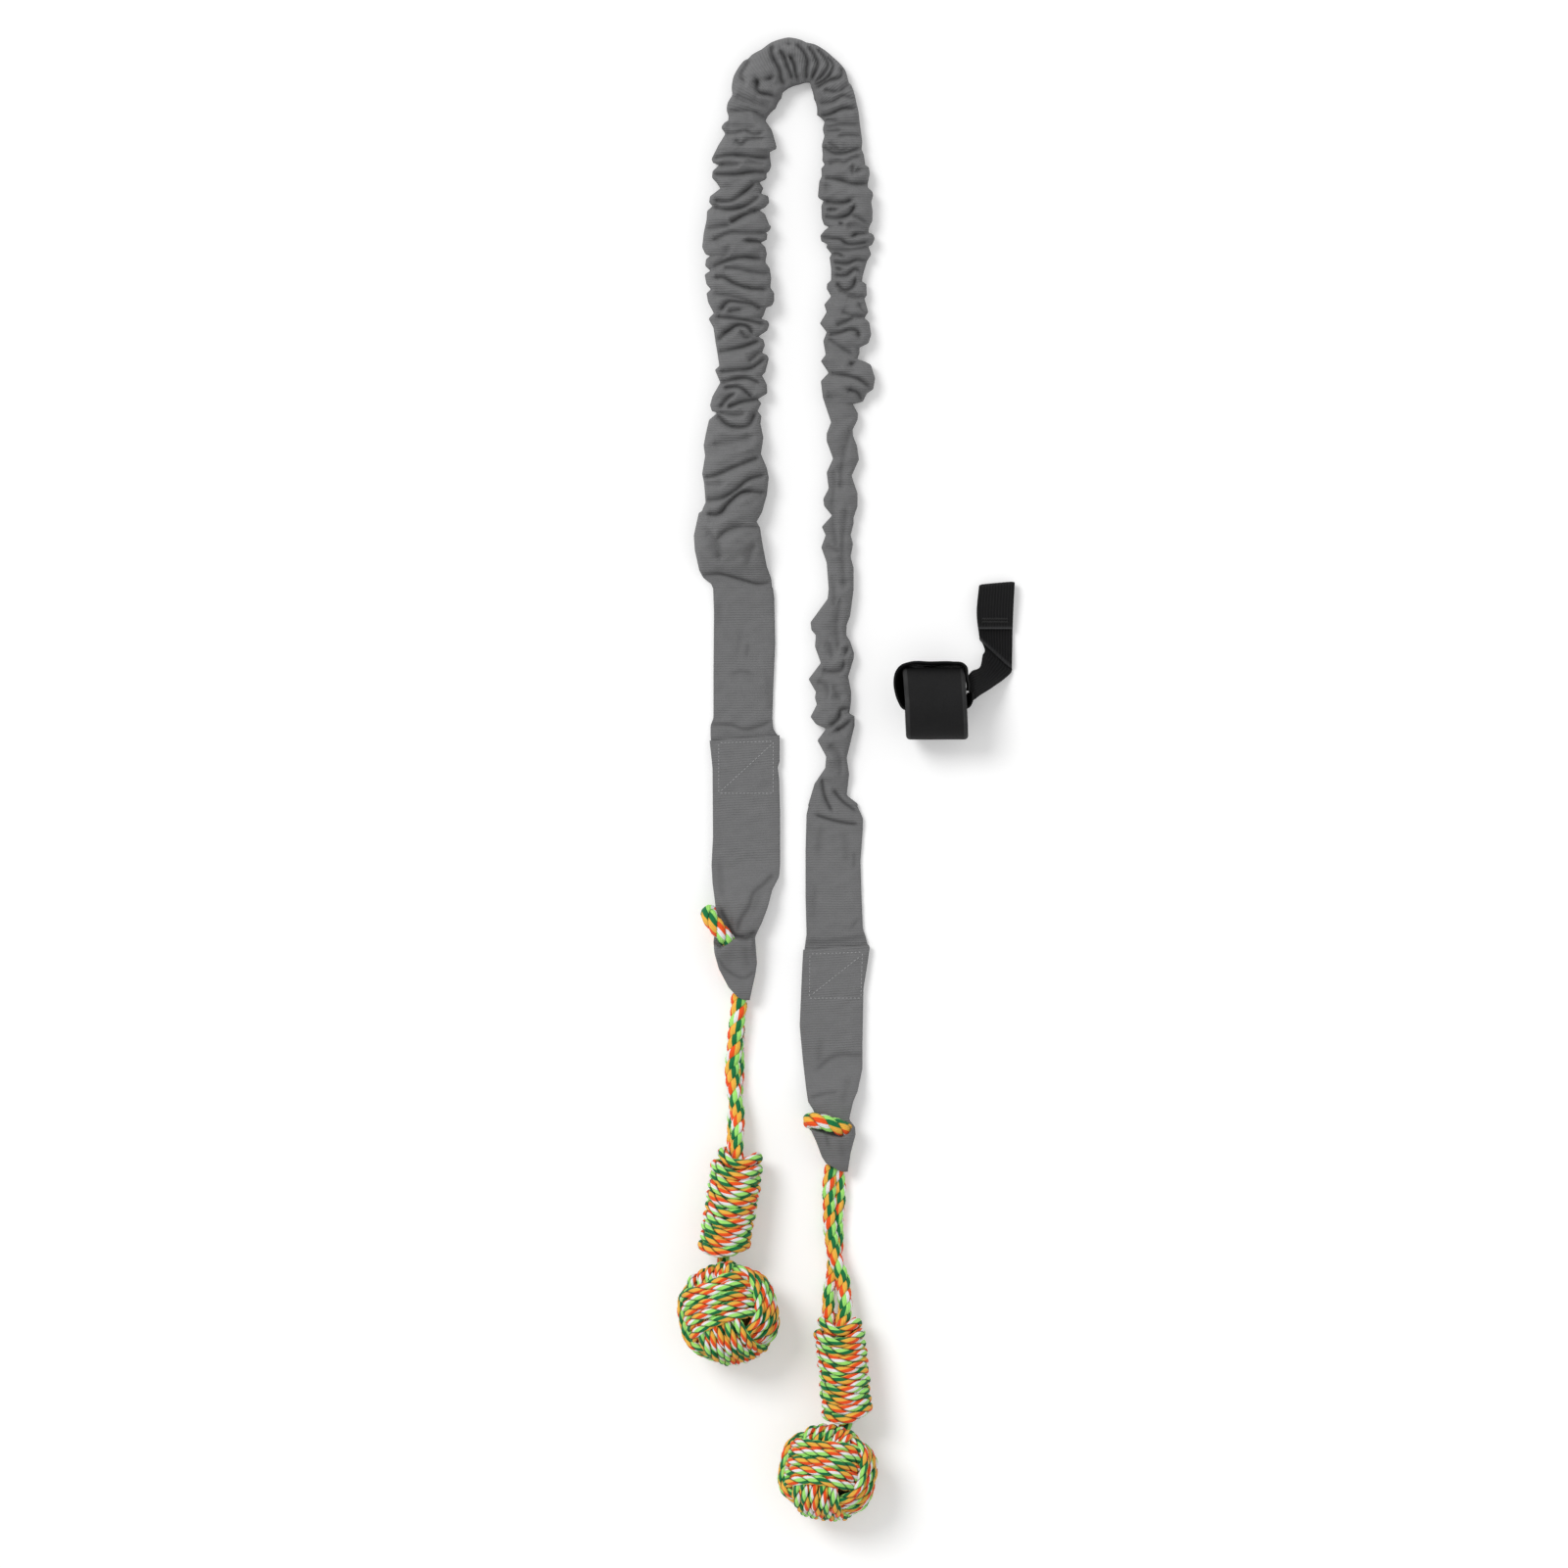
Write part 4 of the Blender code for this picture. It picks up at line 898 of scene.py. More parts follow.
RIGHT_INNER = [
    (833, 106.5), (835, 119), (838.5, 123), (842, 125), (840, 131), (840.5, 136), (842, 138.5),
    (839, 148.5), (840, 158), (839.5, 164.5), (842, 168.5), (838.5, 172.5), (839, 180.5),
    (836.5, 185.5), (835, 201), (837, 204), (841, 205), (838.5, 211), (839, 223.5), (841.5, 230.5),
    (847, 232), (842, 235.5), (837.5, 241), (838.5, 247), (845, 249.5), (843.5, 253), (849, 259.5),
    (847, 263.5), (848.5, 274.5), (848.5, 286.5), (844.5, 290), (844, 295), (848.5, 303),
    (841.5, 311.5), (844, 319), (837, 330.5), (844, 339.5), (840.5, 348.5), (843, 362.5),
    (838, 369), (846, 381), (838, 389.5), (840, 406), (848.5, 431.5), (844, 443), (844, 450.5),
    (850.5, 468.5), (844, 482.5), (846, 499), (840.5, 509.5), (841.5, 517), (849.5, 526.5),
    (839, 538), (843, 546.5), (838.5, 559), (844, 574.5), (846, 601), (845, 611.5), (827.5, 635.5),
    (828.5, 643.5), (833, 648.5), (832, 660), (838, 677), (825.5, 693.5), (833, 706.5),
    (832, 712.5), (834, 719.5), (827.5, 732), (833, 739.5), (843.5, 744), (834.5, 756),
    (843.5, 772.5), (842.5, 784), (831.5, 800.5), (825, 822.5), (824, 839),
]
RIGHT_OUTER = [
    (805, 38.7), (817.5, 41), (823, 44), (831.5, 45.5), (840.5, 50.5), (849.5, 58), (859.5, 67.5),
    (863, 72), (866.5, 85), (869, 87), (872, 95), (874.5, 106.5), (877.5, 123), (879, 134.5),
    (880.5, 146), (879.5, 152.5), (882, 158.5), (883.5, 169.5), (887, 171), (888, 178), (886, 188),
    (886, 192), (890.5, 196), (891.5, 200), (889.5, 207), (891, 216.5), (890.5, 226.5),
    (887.5, 232), (886.5, 238), (891.5, 239.5), (893, 244), (890.5, 250.5), (886.5, 252),
    (889.5, 260), (885, 267.5), (881, 281.5), (880, 288), (884.5, 290), (885, 302), (882.5, 305),
    (886.5, 319), (882.5, 325), (887.5, 329.5), (889.5, 342), (886.5, 351), (877.5, 355),
    (877.5, 361), (875, 367.5), (881, 368.5), (889, 372.5), (893.5, 386.5), (891.5, 398),
    (885, 402), (881, 410.5), (877.5, 411.5), (870.5, 412.5), (876, 422.5), (875.5, 429),
    (870.5, 439), (871, 445.5), (875, 455.5), (877, 469.5), (869.5, 486), (875.5, 504),
    (875.5, 517), (871.5, 528.5), (871.5, 535), (868.5, 546.5), (871, 555.5), (868.5, 569),
    (871.5, 579.5), (871.5, 602.5), (868, 629), (864.5, 638), (864, 648.5), (868, 655), (872, 667),
    (871.5, 673), (866, 691), (869, 706.5), (869, 715.5), (868, 723), (867, 728.5), (872.5, 731),
    (872.5, 741), (864.5, 774), (867, 790.5), (864.5, 812), (875, 820), (881, 831.5), (882, 840),
]
DEEP_FOLDS = [
    [(771.5, 81), (773.5, 86), (773, 92.5), (776.5, 96), (784.5, 97.5), (792, 99.5)],
    [(789, 46.5), (788, 55.5), (791, 63), (796, 72), (798.5, 83.5), (801, 88.5)],
    [(796, 51.5), (801, 59.5), (803.5, 67), (806, 73.5), (810, 83)],
    [(805.5, 57), (811, 67), (813, 77), (815.5, 83.5)],
    [(812.5, 45.5), (821.5, 55.5), (824.5, 64.5), (823.5, 73.5), (824, 82.5)],
    [(825, 48), (831.5, 57), (835, 67), (831.5, 76), (828.5, 83.5)],
    [(834, 50.5), (842, 59.5), (845.5, 67), (840.5, 77), (831.5, 85)],
    [(843, 58), (850.5, 67), (848, 76), (842, 82.5), (831.5, 88)],
    [(859.5, 69.5), (858.5, 78.5), (845.5, 83.5), (833, 91)],
    [(873.5, 111.5), (861, 111.5), (845.5, 118), (838, 119.5)],
    [(728.5, 162.5), (743.5, 159.5), (762.5, 160.5), (779.5, 162), (785.5, 161.5)],
    [(728.5, 178.5), (750, 179), (769, 176.5), (782, 176.5)],
    [(771.5, 187), (761.5, 196), (746, 206), (728.5, 205.5)],
    [(728.5, 212.5), (747.5, 215), (761.5, 211), (775.5, 201)],
    [(745, 229), (761.5, 220), (774, 215.5)], [(760, 246.5), (776.5, 248)],
    [(727, 273.5), (743.5, 267), (756, 264), (779, 265.5)],
    [(729.5, 285), (737, 284), (751, 291), (766.5, 295.5), (784, 296.5)],
    [(735.5, 318), (743.5, 309), (756, 309.5), (769, 311.5), (778.5, 317.5)],
    [(730.5, 324), (742, 325), (764, 328), (781.5, 332)],
    [(733, 348.5), (743.5, 338.5), (753.5, 332.5), (764, 334.5), (769, 342)],
    [(733, 360), (743.5, 358), (757.5, 355), (775.5, 348.5)],
    [(734.5, 380.5), (751, 378.5), (766.5, 376.5), (781.5, 366.5)],
    [(735.5, 391.5), (751, 387.5), (761, 386.5), (776.5, 392)],
    [(738.5, 396.5), (755, 396), (769, 407.5)], [(734.5, 417.5), (744.5, 406), (751, 402)],
    [(742, 417), (757.5, 411), (774, 408)],
    [(732, 423.5), (744.5, 435), (755, 437), (764, 435), (771.5, 421.5)],
    [(719, 488), (728, 486.5), (751, 477), (775.5, 467.5)],
    [(720.5, 511), (737, 509), (751, 501), (764, 490.5), (781.5, 485)],
    [(721.5, 525.5), (734.5, 525), (743.5, 515), (757.5, 503.5), (781.5, 503.5)],
    [(716.5, 587), (734.5, 586), (755, 591), (776.5, 596), (788, 594)],
    [(839.5, 150), (853.5, 157.5), (861, 157), (878, 152)],
    [(841.5, 182.5), (855.5, 184), (871, 188.5), (885.5, 188.5)],
    [(841.5, 206), (853.5, 208), (865, 207), (871, 204)], [(843.5, 215.5), (855.5, 214.5)],
    [(841.5, 222.5), (860, 222.5), (867, 219.5), (873, 210)], [(856.5, 227.5), (861, 230.5)],
    [(869, 243), (873, 240.5), (886.5, 239)],
    [(838.5, 242.5), (848.5, 244), (858, 245), (864, 249), (886.5, 248)],
    [(849.5, 260), (854.5, 259.5), (862, 263.5)],
    [(850.5, 268), (865, 269.5), (875, 266), (885.5, 267.5)], [(852.5, 274), (861, 276.5)],
    [(851.5, 281.5), (864, 281.5), (874, 275.5), (879, 278.5)],
    [(853.5, 289), (863, 297), (870, 294), (874, 283.5)],
    [(845.5, 342.5), (858.5, 340), (868.5, 337), (875, 338.5), (877.5, 346)],
    [(866, 374), (873.5, 370)], [(847, 381.5), (864.5, 384), (877.5, 388), (889, 397)],
    [(864.5, 398), (876, 402), (880, 409.5)], [(862, 669.5), (866, 660.5)],
    [(847, 742), (857, 732), (858.5, 725.5), (867, 723)], [(853, 746.5), (861, 742), (869, 735)],
    [(839, 794.5), (841.5, 811), (849.5, 829)], [(850.5, 806), (858.5, 816), (875, 829)],
    [(832, 831.5), (851, 837.5), (866.5, 840.5), (876.5, 841.5)],
]
MIDDLE_FOLDS = [
    [(842, 122.5), (857, 124.5)], [(843, 131), (857, 128), (877, 128)],
    [(843, 134.5), (860, 133.5)], [(855, 140), (866, 138.5), (878, 139.5)],
    [(845, 146), (853, 151), (859, 157)], [(766, 61), (762, 68), (757, 78), (760, 86)],
    [(803, 45.5), (808, 46.5)], [(782, 83), (791, 79)], [(867.5, 86), (856, 94), (840.5, 92.5)],
    [(872.5, 101.5), (859.5, 99), (852, 104), (836.5, 106.5)],
    [(743.5, 114), (756.5, 114), (766.5, 113.5), (778, 119.5), (782, 122)],
    [(741, 137), (750, 136.5), (761.5, 134.5), (771.5, 138.5), (779.5, 136)],
    [(750, 143.5), (757.5, 148.5), (761.5, 145), (779.5, 142)],
    [(734.5, 168.5), (746, 169), (756.5, 168)], [(775.5, 185.5), (778, 192)],
    [(721, 234), (738.5, 232), (746, 230.5)],
    [(728, 246.5), (747, 238.5), (760, 239), (781.5, 238.5)],
    [(738.5, 274), (756, 276), (767.5, 278.5), (785.5, 281)],
    [(728, 300), (742, 302.5), (764, 308), (779, 316.5)], [(742, 319.5), (758.5, 316)],
    [(756, 337), (762.5, 345.5), (767.5, 345)], [(764, 371), (775.5, 360)],
    [(734.5, 421.5), (751, 424), (761, 422.5)],
    [(730.5, 553), (741, 543), (753.5, 538.5), (775.5, 539)],
    [(845.5, 150), (854.5, 155), (869, 151)],
    [(845.5, 168.5), (858, 165.5), (861, 166.5), (871, 162), (879, 160)],
    [(871, 179.5), (870.5, 167.5)], [(871, 177.5), (877, 174.5), (881, 174.5)],
    [(865, 217.5), (877, 223.5), (886.5, 229.5)],
    [(843.5, 253), (849.5, 255), (864, 256), (885.5, 253)],
    [(855.5, 296), (864, 299.5), (877, 303.5)], [(863.5, 301.5), (871, 304), (882.5, 302.5)],
    [(876, 310), (881, 318), (884, 320.5)], [(858.5, 318.5), (873.5, 323.5), (882.5, 324)],
    [(853, 334), (864.5, 328.5), (873.5, 324)], [(845.5, 346), (858.5, 355), (871, 362.5)],
    [(839, 684), (848, 686), (859.5, 684), (862, 675.5)],
]
FAINT_FOLDS = [
    [(751, 99.5), (766.5, 104), (782, 109.5), (787, 111.5)],
    [(741, 128), (756.5, 129.5), (771.5, 131)], [(761.5, 161.5), (769, 166.5), (781, 169)],
    [(744.5, 253), (741, 260.5), (732, 268.5), (724, 272)], [(720.5, 495.5), (738.5, 494.5)],
    [(844, 188), (843.5, 200)], [(864, 231.5), (877, 232.5), (885.5, 234.5)],
    [(843, 406), (853, 406)], [(843, 556.5), (858.5, 565)], [(855.5, 572), (864.5, 571)],
    [(834, 695), (844, 701), (845.5, 711.5)], [(868, 440), (860, 470), (858, 500)],
    [(852, 480), (850, 530), (854, 560)], [(864, 520), (860, 560), (862, 600)],
    [(850, 590), (852, 620)], [(858, 612), (854, 640), (856, 662)], [(846, 655), (850, 672)],
    [(728, 455), (745, 452), (768, 446)], [(722, 542), (733, 556), (735, 572)],
    [(770, 555), (764, 574)], [(850, 700), (858, 716)], [(846, 760), (856, 770), (858, 792)],
]
print("folds:", len(DEEP_FOLDS), "deep,", len(MIDDLE_FOLDS), "middle,", len(FAINT_FOLDS), "faint")

# %% [markdown]
# A fold presses the cloth in along its stroke: sharply at its line, and softly for a few
# millimetres beside it, with a small lip on both sides. Where two folds meet, only the deeper one
# counts. Between folds the cloth bulges. A little even, seeded waviness stands for folds too small
# to draw.

# %% How folds press the cloth
DEEPEST = 0.0030
FOLD_DEPTHS = [
    (DEEP_FOLDS, DEEPEST, 0.00125), (MIDDLE_FOLDS, 0.0020, 0.0012), (FAINT_FOLDS, 0.0010, 0.0016),
]
BULGE, BULGE_REACH = 0.0032, 0.0046
STROKE_STEP, STROKE_REACH, STROKE_FADE, LIP_SHARE = 0.0008, 0.012, 0.0035, 0.20


def press_folds(places, folds=FOLD_DEPTHS, bulge=BULGE):
    """Height change, and how deep in a fold for painted shade, for floor places in metres."""
    pressed, lips = np.zeros(len(places)), np.zeros(len(places))
    inside, nearest = np.zeros(len(places)), np.full(len(places), 1.0)
    for lines, depth, width in folds:
        for line in lines:
            path = even_line([spot(*place) for place in line], STROKE_STEP)[:, :2]
            low, high = path.min(0) - STROKE_REACH, path.max(0) + STROKE_REACH
            near = np.flatnonzero(((places > low) & (places < high)).all(1))
            if not len(near):
                continue
            apart = np.linalg.norm(places[near][:, None] - path[None], axis=2)
            closest = apart.argmin(1)
            away = apart[np.arange(len(near)), closest]
            gone = np.minimum(closest, len(path) - 1 - closest) * STROKE_STEP
            fade = np.clip(gone / STROKE_FADE + 0.25, 0, 1)
            sharp = np.exp(-((away / width) ** 2))
            soft = np.exp(-((away / (2.8 * width)) ** 2))
            pressed[near] = np.maximum(pressed[near], depth * fade * (0.62 * sharp + 0.38 * soft))
            lip = np.exp(-(((away - 2.4 * width) / (1.1 * width)) ** 2))
            lips[near] = np.maximum(lips[near], LIP_SHARE * depth * fade * lip)
            inside[near] = np.maximum(inside[near], fade * sharp * depth / DEEPEST)
            nearest[near] = np.minimum(nearest[near], away + 0.004 * (1 - fade))
    swell = bulge * (1 - np.exp(-((nearest / BULGE_REACH) ** 2)))
    return swell + lips * (1 - inside) - pressed, inside


def wavy(places, seed, size, count=18):
    """Gentle seeded waves, mostly crests across the toy's length."""
    shake = np.random.default_rng(seed)
    total = np.zeros(len(places))
    for _ in range(count):
        length = shake.uniform(0.004, 0.015)
        lean = shake.normal(0, 0.6)
        way = np.array((math.sin(lean), math.cos(lean))) * 2 * math.pi / length
        wander = np.array((shake.normal(0, 1), shake.normal(0, 1))) * 60
        crest = np.sin(places @ way + shake.uniform(0, 6.3))
        total += length * crest * np.sin(places @ wander + shake.uniform(0, 6.3))
    return total * size / (0.0095 * math.sqrt(count) * 0.5)


# %% [markdown]
# The sleeve is built from rings 0.85 mm apart. Each ring is a rounded, flattened loop between the
# two edge lines. Down the legs a ring lies straight across, and round the bend the rings turn
# about one point. The folds then press its upper half, and its lower half rests on the floor. It
# is made in three pieces, the bend and the two legs, since on the toy the bend stays where it is
# while each leg stretches with its elastic.

# %% Sleeve rings
BEND_TURN = (812.0, 125.0)
LEG_TOP_STEP = 153.0
RING_STEP, RING_SIDES, TAPE_ROUND = 0.00085, 96, 0.11
CLOTH_LOW, FULL_HEIGHT = 0.0004, 0.018
LEG_END_HEIGHT, LEG_END_TAPER = 0.0062, 0.035
SLEEVE_LOWEST, SLEEVE_HIGHEST, SMOOTHED_RINGS = 0.0125, 0.0245, 31
LIP_WIDTH, WAVINESS = 0.0014, 0.0005


def along_edge(edge, downs, soften=0.6):
    """The edge's place across at each step down, a little softened."""
    rows = np.array(edge, float)
    keep = [0]
    for index in range(1, len(rows)):
        if rows[index][1] > rows[keep[-1]][1] + 0.3:
            keep.append(index)
    rows = rows[keep]
    shifts = np.linspace(-soften, soften, 7)
    return np.mean([np.interp(downs + shift, rows[:, 1], rows[:, 0]) for shift in shifts], axis=0)


def round_bend(edge, angles):
    """The edge's distance from the bend's turning point at each angle."""
    rows = np.array(edge, float) - BEND_TURN
    angle, reach = np.arctan2(-rows[:, 1], rows[:, 0]), np.hypot(rows[:, 0], rows[:, 1])
    order = np.argsort(angle)
    shifts = np.linspace(-0.02, 0.02, 7)
    return np.mean([np.interp(angles + s, angle[order], reach[order]) for s in shifts], axis=0)


def leg_rows(outer, inner, first, last):
    downs = np.linspace(first, last, round(abs(last - first) * STEP / RING_STEP) + 1)
    return [np.stack([along_edge(edge, downs), downs], axis=1) for edge in (outer, inner)]


def bend_rows():
    up = leg_rows(LEFT_OUTER, LEFT_INNER, LEG_TOP_STEP, BEND_TURN[1])
    down = leg_rows(RIGHT_OUTER, RIGHT_INNER, BEND_TURN[1], LEG_TOP_STEP)
    angles = np.linspace(math.pi, 0, 230)
    outer = [place for place in LEFT_OUTER + RIGHT_OUTER if place[1] < 133]
    inner = BEND_INNER + [(782, 125), (842, 125)]
    ways = np.stack([np.cos(angles), -np.sin(angles)], axis=1)
    rounds = [BEND_TURN + ways * round_bend(edge, angles)[:, None] for edge in (outer, inner)]
    rounds[0][0], rounds[1][0] = up[0][-1], up[1][-1]
    ends = []
    for side in range(2):
        rows = np.concatenate([up[side][:-1], rounds[side], down[side][1:]])
        for _ in range(2):
            smooth = rows.copy()
            smooth[1:-1] = (rows[:-2] + 2 * rows[1:-1] + rows[2:]) / 4
            rows = smooth
        ends.append(rows)
    print("bend rings:", len(ends[0]))
    return ends


def to_metres(rows):
    return np.stack([(rows[:, 0] - MIDDLE[0]) * STEP, (MIDDLE[1] - rows[:, 1]) * STEP], axis=1)


def ring_loop(squareness, count=RING_SIDES):
    """Each ring's share across and share up: 2 would be an ellipse, and more is squarer."""
    upper, lower = count * 2 // 3, count - count * 2 // 3
    turns = np.concatenate([
        np.linspace(-1, 1, upper, endpoint=False), np.linspace(1, -1, lower, endpoint=False),
    ])
    across = np.sin(turns * math.pi / 2)
    power = squareness[:, None]
    up = (1 - np.abs(across)[None] ** power).clip(0, 1) ** (1 / power)
    up[:, upper:] *= -1
    return across, up


def flap_height(flat, mouth, height, reach):
    """A flap that opens upwards at its mouth's line, and sinks towards the tip."""
    across = flat[..., 0] / STEP + MIDDLE[0]
    down = MIDDLE[1] - flat[..., 1] / STEP
    rows = np.array(mouth, float)
    below = (down - np.interp(across, rows[:, 0], rows[:, 1])) * STEP
    lip = below / LIP_WIDTH
    share = (across - rows[0, 0]) / (rows[-1, 0] - rows[0, 0])
    sides = np.clip(np.minimum(share, 1 - share) * 5 + 0.5, 0, 1)
    return height * smooth_share(lip) * np.exp(-((np.maximum(below, 0) / reach) ** 2)) * sides


def sleeve_mesh(name, outer, inner, heights, seed, lifts=None, squareness=None,
                folds=FOLD_DEPTHS, bulge=BULGE, flap=None):
    """Rings between two edges, pressed in by the folds, with closed ends."""
    a, b = to_metres(outer), to_metres(inner)
    middle, half = (a + b) / 2, (b - a) / 2
    across, up = ring_loop(np.full(len(a), 2.4) if squareness is None else squareness)
    flat = middle[:, None] + half[:, None] * across[None, :, None]
    places = flat.reshape(-1, 2)
    if np.ndim(bulge):
        bulge = np.repeat(bulge, RING_SIDES)
    change, inside = press_folds(places, folds, bulge)
    change = (change + wavy(places, seed, WAVINESS)).reshape(len(a), -1)
    heights = heights[:, None]
    rise, side_height = np.clip(up, 0, 1), 0.42 * heights
    sunk = 0.0011 * np.clip(heights / FULL_HEIGHT, 0, 1)
    top = side_height + (heights - side_height - sunk) * rise
    top = top + change * rise ** 0.6 * np.clip(heights / FULL_HEIGHT, 0.3, 1)
    if flap is not None:
        top = top + flap_height(flat, *flap) * rise ** 0.25
    bottom = CLOTH_LOW + (side_height - CLOTH_LOW) * (1 - np.clip(-up, 0, 1) ** 0.6)
    z = np.where(up >= 0, np.maximum(top, CLOTH_LOW + 0.001), bottom)
    if lifts is not None:
        z = z + lifts[:, None]
    points = np.concatenate([flat, z[:, :, None]], axis=2)
    around = np.linspace(0, TAPE_ROUND, RING_SIDES + 1)
    faces, uv = tube_faces(around, lengths_along(middle), 0.5)
    made = mesh_piece(name, points.reshape(-1, 3), faces, uv, [GREY_TAPE])
    close_piece(made)
    # The `fold` number is painted shade: deep in folds, and on each ring's steep sides, which face
    # away from the light.
    fold = made.data.attributes.new("fold", "FLOAT", "POINT")
    shown = np.maximum(inside.reshape(len(a), -1) * rise, 0.7 * (1 - rise / 0.45).clip(0, 1))
    fold.data.foreach_set("value", shown.reshape(-1).astype(np.float32))
    print(name, "has", len(a), "rings and", len(faces), "faces")
    return made


def close_piece(made, flat_ends=True):
    """Faces outwards, and a sharp rim round each flat end."""
    shape = bmesh.new()
    shape.from_mesh(made.data)
    bmesh.ops.recalc_face_normals(shape, faces=shape.faces)
    for face in shape.faces:
        if flat_ends and len(face.verts) > 4:
            face.smooth = False
            for edge in face.edges:
                edge.smooth = False
    shape.to_mesh(made.data)
    shape.free()


def sleeve_heights(outer, inner, last_height=None):
    """The sleeve stands about as high as half its width, and sinks to the strap at a leg's end."""
    a, b = to_metres(outer), to_metres(inner)
    widths = np.linalg.norm(a - b, axis=1)
    kernel = np.hanning(SMOOTHED_RINGS) / np.hanning(SMOOTHED_RINGS).sum()
    widths = np.pad(widths, SMOOTHED_RINGS // 2, mode="edge")
    heights = 0.50 * np.convolve(widths, kernel, mode="valid")
    heights = np.clip(heights, SLEEVE_LOWEST, SLEEVE_HIGHEST)
    if last_height is not None:
        left = np.linspace(len(a) * RING_STEP, 0, len(a))
        heights = last_height + (heights - last_height) * smooth_share(left / LEG_END_TAPER)
    return heights


LEFT["strap_start"], RIGHT["strap_start"] = 600.0, 822.5


def add_sleeve():
    outer, inner = bend_rows()
    bend = sleeve_mesh("sleeve_bend", outer, inner, sleeve_heights(outer, inner), 3)
    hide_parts("bend_sleeve", "bend_elastic_core")
    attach(bend, "sleeve")
    for side, *edges in ((LEFT, LEFT_OUTER, LEFT_INNER), (RIGHT, RIGHT_OUTER, RIGHT_INNER)):
        name = side["name"]
        outer, inner = leg_rows(*edges, LEG_TOP_STEP, side["strap_start"])
        heights = sleeve_heights(outer, inner, LEG_END_HEIGHT)
        leg = sleeve_mesh(f"{name}_sleeve_leg", outer, inner, heights, 5)
        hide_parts(f"{name}_leg_sleeve", f"{name}_elastic_core")
        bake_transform(leg)


add_sleeve()

# %% [markdown]
# ## Straps
# Below the gathers the same tape lies flat. Its end is folded back over itself, box stitched, and
# pulled into a narrow eye by the rope. So a strap is two layers with a shared outline: the lower
# one joins the sleeve, and the upper one starts at its cut edge and meets the lower one at the
# tip. They are made from the same rings as the sleeve, only thinner and squarer, and they rise
# over the ropes beneath the eye.

# %% Strap outlines and folds, in steps of the picture
LEFT["low_edges"] = (
    [(728, 596), (729, 626), (728.5, 687), (728.5, 733), (725.5, 741), (725.5, 752), (728.5, 784),
     (729, 854), (728, 883), (729, 901), (731, 920), (732, 945), (730, 961), (731, 973),
     (735.5, 989), (745, 1007), (754.5, 1016.5), (760, 1019.5)],
    [(788.5, 596), (790.5, 610.5), (791.5, 656.5), (789.5, 702.5), (788.5, 733), (789.5, 744),
     (792.5, 749), (794.5, 751), (794.5, 777), (793, 784), (794, 794), (795, 829), (795, 883),
     (794, 894), (787, 907), (782.5, 925), (776.5, 941), (772, 950), (769.5, 957), (771.5, 983),
     (770, 993), (765, 1019.5)],
)
LEFT["top_edges"] = (
    [(724.5, 748), (724.5, 756), (727.5, 784), (728, 854), (726.5, 883.5), (727.5, 901),
     (730, 920), (731, 930), (731, 945), (728.5, 961), (729.5, 973), (734, 989), (744, 1008),
     (754, 1018.5), (760.5, 1021)],
    [(796, 748), (796, 777.5), (794, 783.5), (795.5, 794.5), (796.5, 829), (796.5, 883.5),
     (795.5, 895), (788.5, 908.5), (784, 926), (778, 942), (773.5, 951), (771, 957), (773, 983),
     (771.5, 993.5), (765.5, 1021)],
)
RIGHT["low_edges"] = (
    [(828.5, 810), (823.5, 831.5), (822.5, 867.5), (822.5, 916), (823.5, 954), (821.5, 968),
     (820.5, 988), (820, 1000), (818, 1047), (821, 1080), (824.5, 1111), (826.5, 1124),
     (831.5, 1134), (832, 1142), (829, 1153), (834.5, 1164.5), (840.5, 1180), (845, 1186),
     (858, 1193), (862, 1194)],
    [(865, 812.5), (875.5, 823), (881, 835.5), (881, 845.5), (878.5, 880), (879.5, 912),
     (881, 948), (884, 957), (886.5, 967), (884.5, 982), (880, 1010), (879, 1067), (879, 1091),
     (874, 1113.5), (869.5, 1124), (865.5, 1142), (867, 1145), (871.5, 1150), (872, 1158),
     (867, 1176), (865, 1194)],
)
RIGHT["top_edges"] = (
    [(820.5, 962), (819, 988.5), (818.5, 1000), (816.5, 1047), (819.5, 1080.5), (823, 1111),
     (825, 1124.5), (831, 1134), (831, 1142), (827.5, 1152.5), (833, 1164.5), (839, 1180.5),
     (843.5, 1187.5), (857.5, 1195), (861, 1196)],
    [(885.5, 962), (888, 967), (886, 982), (881.5, 1010), (880.5, 1067), (880.5, 1091),
     (875.5, 1114), (871, 1124.5), (867, 1142), (868.5, 1144.5), (873, 1150), (873.5, 1158),
     (868.5, 1176.5), (865.5, 1196)],
)
LEFT["low_folds"] = [
    ([[(726, 739.5), (746, 740), (761.5, 744.5), (772, 742.5), (787.5, 736)]], 0.0016, 0.0014),
    ([[(746, 688.5), (757, 685.5), (769, 688)], [(764.5, 656.5), (761.5, 672)]], 0.001, 0.0014),
    ([[(735, 615), (733, 640)], [(757, 640), (752, 668)], [(784, 690), (786, 726)]], 0.0006,
     0.0024),
]
LEFT["top_folds"] = [
    ([[(735, 927), (742, 940), (752, 955), (760.5, 957), (773, 950.5)]], 0.003, 0.002),
    ([[(790, 892), (781, 901), (769, 912.5), (765, 924.5), (756, 939), (752, 952)]], 0.0017,
     0.0018),
    ([[(747, 935), (746.5, 951)], [(732, 976), (741.5, 989), (761, 998), (771, 991)]], 0.0013,
     0.0013),
    ([[(734, 880), (738, 915)], [(776, 905), (768, 930)], [(760, 965), (764, 988)]], 0.0007,
     0.0026),
]
RIGHT["low_folds"] = [
    ([[(823, 962), (845, 961), (865, 958.5), (884, 956)]], 0.0011, 0.0022),
    ([[(872.5, 870), (871.5, 886.5)], [(876.5, 937.5), (869, 948)]], 0.001, 0.0014),
    ([[(838, 845), (835, 872)], [(862, 850), (864, 880)], [(832, 905), (830, 940)]], 0.0006,
     0.0024),
]
